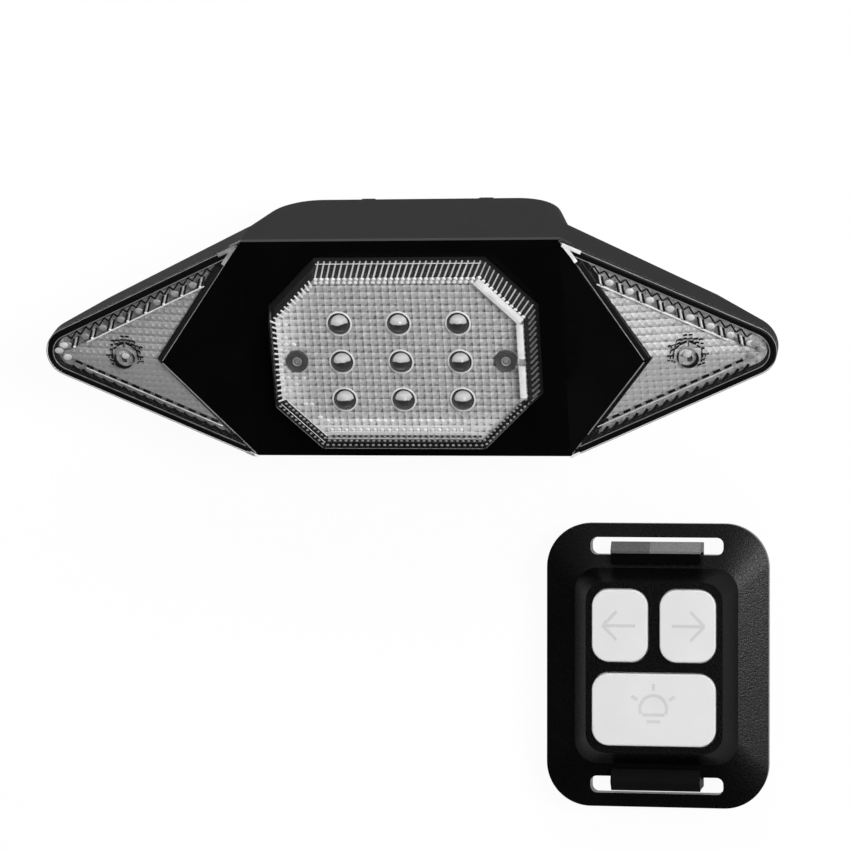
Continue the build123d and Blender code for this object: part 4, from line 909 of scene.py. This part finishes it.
def wing_sheet(side, height):
    """Studded sheet under one facet of the right wing"""
    middle = (SHEET_MIDDLE, side * SHEET_TOP, 0)
    sheet = studded_sheet(middle, SHEET_HALF, SHEET_TOP, WING_STUD, WING_STUD, height)
    for point in sheet.data.vertices:
        point.co.z += facet_level(point.co.x / MM, point.co.y / MM, SHEET_DROP) * MM
    reach = CORNER_X - (BEVEL_REACH + 0.1) / sin(WING_TURN)
    cut_away(sheet, (reach, 0, 0), (sin(WING_TURN), side * cos(WING_TURN), 0))
    notch = Vector((FACE_TOP, side * (NOTCH_X - FACE_HALF))).normalized()
    cut_away(sheet, (NOTCH_X + 1.3 / notch.x, 0, 0), (-notch.x, -notch.y, 0))
    return sheet


def pair_of_wings(thing, name, right, left, smooth=FINE_SMOOTH):
    """The right wing's piece and its mirror copy for the left wing, each with its finish"""
    other = mirror_copy(thing)
    on_light(thing, "right_" + name, right, smooth)
    on_light(other, "left_" + name, left, smooth)


sheets = join([wing_sheet(1, 0.28), wing_sheet(-1, 0.12)])
pair_of_wings(sheets, "wing_studs", right_wing_painted_light, left_wing_painted_shade, None)

# Upper edge: teeth, bars between dark ones, a blob in each gap. Lower edge: waves and dashes. The dark
# ones paint shade; the light bars, glints and blobs paint highlights
EDGE_RUN = 46.0
TOOTH_START = 3.6
TOOTH_PITCH = 2.6
TOOTH_FOOT = 2.0
TOOTH_PEAK = 3.0
WAVE_FOOT = 2.5
WAVE_HEAD = 3.9
BAR_START = 9.4
BAR_PITCH = 5.0
BAR_FOOT = 3.2
BAR_HEAD = 4.8
DASH_START = 9.0
DASH_PITCH = 2.9
DASH_INSET = 5.75
DASH_LEVEL = BEVEL_LEVEL + 0.1
teeth, waves, dark_bars, light_bars, blobs, dashes = [], [], [], [], [], []
for i in range(int(EDGE_RUN / TOOTH_PITCH)):
    along = TOOTH_START + i * TOOTH_PITCH
    middle = on_slope(TOOTH_PEAK, along + TOOTH_PITCH / 2, 1)
    teeth.append((on_slope(TOOTH_FOOT, along, 1), middle, 0.44, TRIM_HEIGHT))
    teeth.append((middle, on_slope(TOOTH_FOOT, along + TOOTH_PITCH, 1), 0.44, TRIM_HEIGHT))
    waves.append((on_slope(WAVE_FOOT, along, -1), on_slope(WAVE_HEAD, along + 1.7, -1), 0.8, TRIM_HEIGHT))
for i in range(8):
    along = BAR_START + i * BAR_PITCH
    for shift, width, group in ((0.0, 0.55, dark_bars), (0.7, 0.42, light_bars), (1.35, 0.55, dark_bars)):
        near = on_slope(BAR_FOOT, along + shift, 1)
        far = on_slope(BAR_HEAD, along + shift + 0.5, 1)
        group.append((near, far, width, TRIM_HEIGHT))
    blobs.append(on_slope(WAVE_HEAD, along + 3.2, 1, -0.15))
for i in range(13):
    along = DASH_START + i * DASH_PITCH
    ends = [edge_point(DASH_INSET, along + step, -1, DASH_LEVEL) for step in (0, 1.8)]
    dashes.append((*ends, 0.7, TRIM_HEIGHT))
dark_trim = rods(teeth + dark_bars + waves + dashes)
pair_of_wings(dark_trim, "wing_dark_trim", painted_shade_line, painted_shade_line)
pair_of_wings(rods(light_bars), "wing_light_bars", painted_soft_highlight, grey_and_dim_highlight)
glints = beads([bar[1] for bar in light_bars], (0.36, 0.26, 0.2))
pair_of_wings(glints, "wing_glints", grey_and_dim_highlight, painted_bright_highlight)
pair_of_wings(beads(blobs, (1.05, 0.8, 0.2)), "wing_scallops", painted_soft_highlight, grey_and_dim_highlight)

# Bands and lines round the lens, and the two bright ridges on it: the black bands, along the flange and
# the notch, paint shade; the thin lines and ridges paint highlights
black_bands = round_edge(0.95, FLANGE_LEVEL, 1.25)
black_bands.append((notch_point(0.9, 0.14, 1, 0.6), notch_point(0.9, 0.99, 1, 0.6), 1.5, TRIM_HEIGHT))
pair_of_wings(rods(black_bands, 8), "wing_black_bands", painted_shade_line, painted_shade_line, None)
thin_lines = round_edge(0.12, FLANGE_LEVEL, 0.18) + round_edge(1.75, 1.62, 0.2)
for side, width in ((1, 0.2), (-1, 0.3)):
    ends = [notch_point(0.05, share, side, -0.02) for share in (0.03, 0.99)]
    thin_lines.append((*ends, width, 0.2))
pair_of_wings(rods(thin_lines), "wing_thin_lines", grey_and_dim_highlight, grey_and_dim_highlight)
RIDGE_LEVEL = BEVEL_LEVEL - 0.2
wing_ridges = [
    (edge_point(5.1, 9.5, 1, RIDGE_LEVEL), edge_point(5.1, 42.0, 1, RIDGE_LEVEL), 0.34, TRIM_HEIGHT),
    (edge_point(5.0, 8.0, -1, RIDGE_LEVEL), edge_point(5.0, 43.0, -1, RIDGE_LEVEL), 0.24, 0.24),
]
pair_of_wings(rods(wing_ridges), "wing_bright_lines", painted_bright_highlight, painted_bright_highlight)

# Light caps at the corners and blobs at the tip, painted highlights
CAP_LEVEL = 1.7
cap_rows = [
    [edge_point(0.3, along, 1, CAP_LEVEL) for along in (5.6, 3.0, 0.9)],
    [edge_point(0.3, 0.9, 1, CAP_LEVEL), beside_notch(1.4, 0.45)],
    [beside_notch(along, 0.45) for along in (1.4, 3.0, 4.6, 6.2)],
]
corner_caps = [(a, b, 1.0, TRIM_HEIGHT) for row in cap_rows for a, b in zip(row, row[1:])]
low_cap = [edge_point(0.35, along, -1, CAP_LEVEL) for along in (0.8, 2.8)]
corner_caps.append((*low_cap, 0.7, TRIM_HEIGHT))
pair_of_wings(rods(corner_caps), "wing_corner_caps", painted_bright_highlight, grey_and_dim_highlight)
tip_blobs = beads([(81.4, 2.4, 2.9), (80.6, -0.4, 3.4), (82.8, 0.9, 2.5)], (1.1, 0.8, 0.3))
pair_of_wings(tip_blobs, "wing_tip_blobs", grey_and_dim_highlight, painted_soft_highlight)

# The lamp under each wing with a light ring and a painted glint, a crescent of painted shade, and the
# studs that it bends out of line drawn as dark strokes
WING_LAMP_LEVEL = facet_level(WING_LAMP_X, 0, 1.2)
lamp_ring = rings([(WING_LAMP_X, 0, WING_LAMP_LEVEL)], 2.3, 0.28)
pair_of_wings(lamp_ring, "wing_lamp_ring", grey_and_dim_highlight, grey_and_dim_highlight)
lamp_glint = beads([(WING_LAMP_X - 0.2, 0.5, WING_LAMP_LEVEL)], (1.0, 0.75, 0.35))
pair_of_wings(lamp_glint, "wing_lamp_glint", painted_soft_highlight, painted_soft_highlight)


def lamp_stroke(radius, first, last, width):
    """Short stroke on a circle over the ring of the wing's lamp, for a crescent of painted shade"""
    level = WING_LAMP_LEVEL + 0.3
    ends = [(WING_LAMP_X + radius * cos(angle), radius * sin(angle), level) for angle in (first, last)]
    return (*ends, width, 0.2)


strokes = [
    lamp_stroke(2.25, -2.3 + 0.2 * k, -2.1 + 0.2 * k, 0.35 + 0.75 * sin(pi * k / 13)) for k in range(14)
]
strokes += [lamp_stroke(2.3, 2.6 + 0.2 * k, 2.8 + 0.2 * k, 0.5 - 0.1 * abs(k - 2)) for k in range(5)]


def bent_grid(u, v):
    """Corner of the square grid of studs, pushed away from the lamp"""
    reach = max(hypot(u, v), 1.2)
    push = 1 + 2.6 / reach**2
    x, y = WING_LAMP_X + u * push, v * push
    return (x, y, facet_level(x, y, 1.25))


STROKE_HEIGHT = 0.25
NEAREST_STROKE = 1.3
for row in range(-2, 5):
    for column in range(-4, 4):
        u, v = column * 1.05 + 0.5, row * 0.95 + 0.3
        reach = hypot(u, v)
        if NEAREST_STROKE < reach < 3.6 + uniform(0, 1.2) and v > -2.2 + uniform(0, 1.5):
            ends = [bent_grid(u - 0.3, v), bent_grid(u + 0.45, v + 0.1)]
            strokes.append((*ends, uniform(0.26, 0.5), STROKE_HEIGHT))
        if NEAREST_STROKE < reach < 3.0 + uniform(0, 1.2) and v > -0.6:
            ends = [bent_grid(u - 0.45, v - 0.5), bent_grid(u - 0.4, v + 0.1)]
            strokes.append((*ends, uniform(0.2, 0.34), STROKE_HEIGHT))
pair_of_wings(rods(strokes), "wing_lamp_marks", painted_shade_line, painted_shade_line)


# Remote: marks sunk into the white buttons, in a darker grey that paints the shade inside them
BUTTON_TOP = 11.5
MARK_WIDTH = 0.85
MARK_HEIGHT = 0.06
ARROW_ROW = 9.9
BULB_ROW = -9.6
BULB_RADIUS = 3.2


def sunk_mark(name, lines, body):
    """Thin strokes let into a button's top, their darker grey a painted shade"""
    runs = [((*a, BUTTON_TOP), (*b, BUTTON_TOP), MARK_WIDTH, MARK_HEIGHT) for a, b in lines]
    settle(rods(runs), name, REMOTE_FRAME, body, painted_groove_shade)


def round_bulb(angle, radius):
    """Point round the middle of the lamp sign"""
    return (cos(angle) * radius, BULB_ROW + sin(angle) * radius)


for name, middle, way, body in (
    ("left_arrow_mark", -8.0, -1, "left_key"),
    ("right_arrow_mark", 8.0, 1, "right_key"),
):
    tip = (middle + way * 4.0, ARROW_ROW)
    barbs = [(tip, (tip[0] - way * 3.3, ARROW_ROW + turn * 3.4)) for turn in (1, -1)]
    sunk_mark(name, [((middle - way * 3.7, ARROW_ROW), tip), *barbs], body)
bulb = [round_bulb(pi * k / 8, BULB_RADIUS) for k in range(-1, 10)]
bulb_lines = list(zip(bulb, bulb[1:])) + [((-2.6, -11.0), (2.6, -11.0)), ((-1.6, -12.6), (1.6, -12.6))]
bulb_lines += [(round_bulb(angle, 4.3), round_bulb(angle, 5.9)) for angle in (pi / 6, pi / 2, 5 * pi / 6)]
sunk_mark("lamp_mark", bulb_lines, "lamp_key")


# Floor, light and camera
FLOOR_SIZE = 6
FLOOR_GLOW = 0.95
DIFFUSE_SKY = 0.27
CAMERA_TARGET = (1.19, 18.06, 20.0)
CAMERA_TURN_X = radians(10.17)
CAMERA_TURN_Y = radians(-0.59)
CAMERA_DISTANCE = 0.8
CAMERA_LENS = 142.3
SENSOR_WIDTH = 36


def studio_floor():
    """White floor: to the camera it glows evenly, for other light it is matt and takes shadows"""
    material, nodes, links, shader, place = new_material("studio floor")
    tree = material.node_tree
    shader.inputs["Base Color"].default_value = (0.9, 0.9, 0.9, 1)
    shader.inputs["Roughness"].default_value = 0.9
    shader.inputs["Specular IOR Level"].default_value = 0.0
    glow = nodes.new("ShaderNodeEmission")
    glow.inputs["Strength"].default_value = 1.0
    path = nodes.new("ShaderNodeLightPath")
    seen = calculate(tree, "MAXIMUM", path.outputs["Is Camera Ray"], path.outputs["Is Glossy Ray"])
    seen = calculate(tree, "MAXIMUM", seen, path.outputs["Is Transmission Ray"])
    both = nodes.new("ShaderNodeMixShader")
    links.new(calculate(tree, "MULTIPLY", seen, FLOOR_GLOW), both.inputs["Fac"])
    links.new(shader.outputs["BSDF"], both.inputs[1])
    links.new(glow.outputs["Emission"], both.inputs[2])
    links.new(both.outputs["Shader"], nodes["Material Output"].inputs["Surface"])
    pick_only()
    bpy.ops.mesh.primitive_plane_add(size=FLOOR_SIZE, location=(0, 0, 0))
    floor = bpy.context.active_object
    floor.name = "studio_floor"
    floor.data.materials.append(material)


def studio_world():
    """Even light for matt surfaces; for gloss a bright horizon, a bright back and a dark sky"""
    world = bpy.data.worlds.new("studio")
    bpy.context.scene.world = world
    world.use_nodes = True
    tree = world.node_tree
    nodes, links = tree.nodes, tree.links
    back = nodes["Background"]
    place = nodes.new("ShaderNodeTexCoord")
    split = nodes.new("ShaderNodeSeparateXYZ")
    links.new(place.outputs["Generated"], split.inputs["Vector"])
    horizon = spread(nodes, links, split.outputs["Z"], 0.9, 0.02, 0.3, 0.45)
    wall = spread(nodes, links, split.outputs["Y"], 0.0, 0.9, 0.22, 0.34)
    path = nodes.new("ShaderNodeLightPath")
    mix = nodes.new("ShaderNodeMix")
    mix.data_type = "FLOAT"
    links.new(path.outputs["Is Diffuse Ray"], mix.inputs["Factor"])
    links.new(calculate(tree, "MAXIMUM", horizon, wall), mix.inputs["A"])
    mix.inputs["B"].default_value = DIFFUSE_SKY
    links.new(mix.outputs["Result"], back.inputs["Strength"])
    back.inputs["Color"].default_value = (1, 1, 1, 1)


def soft_lamp(name, at, size, power):
    """Rectangular lamp aimed at the middle of the floor"""
    pick_only()
    bpy.ops.object.light_add(type="AREA", location=at)
    lamp = bpy.context.active_object
    lamp.name = name
    lamp.data.shape = "RECTANGLE"
    lamp.data.size, lamp.data.size_y = size
    lamp.data.energy = power
    lamp.rotation_euler = (-Vector(at)).to_track_quat("-Z", "Y").to_euler()


def studio_camera():
    """The photograph's view: high above, a little from the right"""
    target = Vector(CAMERA_TARGET) * MM
    turn_x, turn_y = CAMERA_TURN_X, CAMERA_TURN_Y
    away = Vector((sin(turn_x) * cos(turn_y), -sin(turn_y), cos(turn_x) * cos(turn_y)))
    bpy.ops.object.camera_add(location=target + away * CAMERA_DISTANCE)
    camera = bpy.context.active_object
    across = Vector((0, 1, 0)).cross(away).normalized()
    camera.rotation_euler = Matrix((across, away.cross(across), away)).transposed().to_euler()
    camera.data.lens = CAMERA_LENS
    camera.data.sensor_width = SENSOR_WIDTH
    bpy.context.scene.camera = camera


studio_floor()
studio_world()
soft_lamp("right_softbox", (0.52, 0.1, 0.97), (0.28, 0.4), 8.6)
soft_lamp("top_softbox", (0.1, 1.0, 0.85), (0.9, 0.5), 7)
studio_camera()
bpy.context.scene.view_settings.view_transform = "Standard"
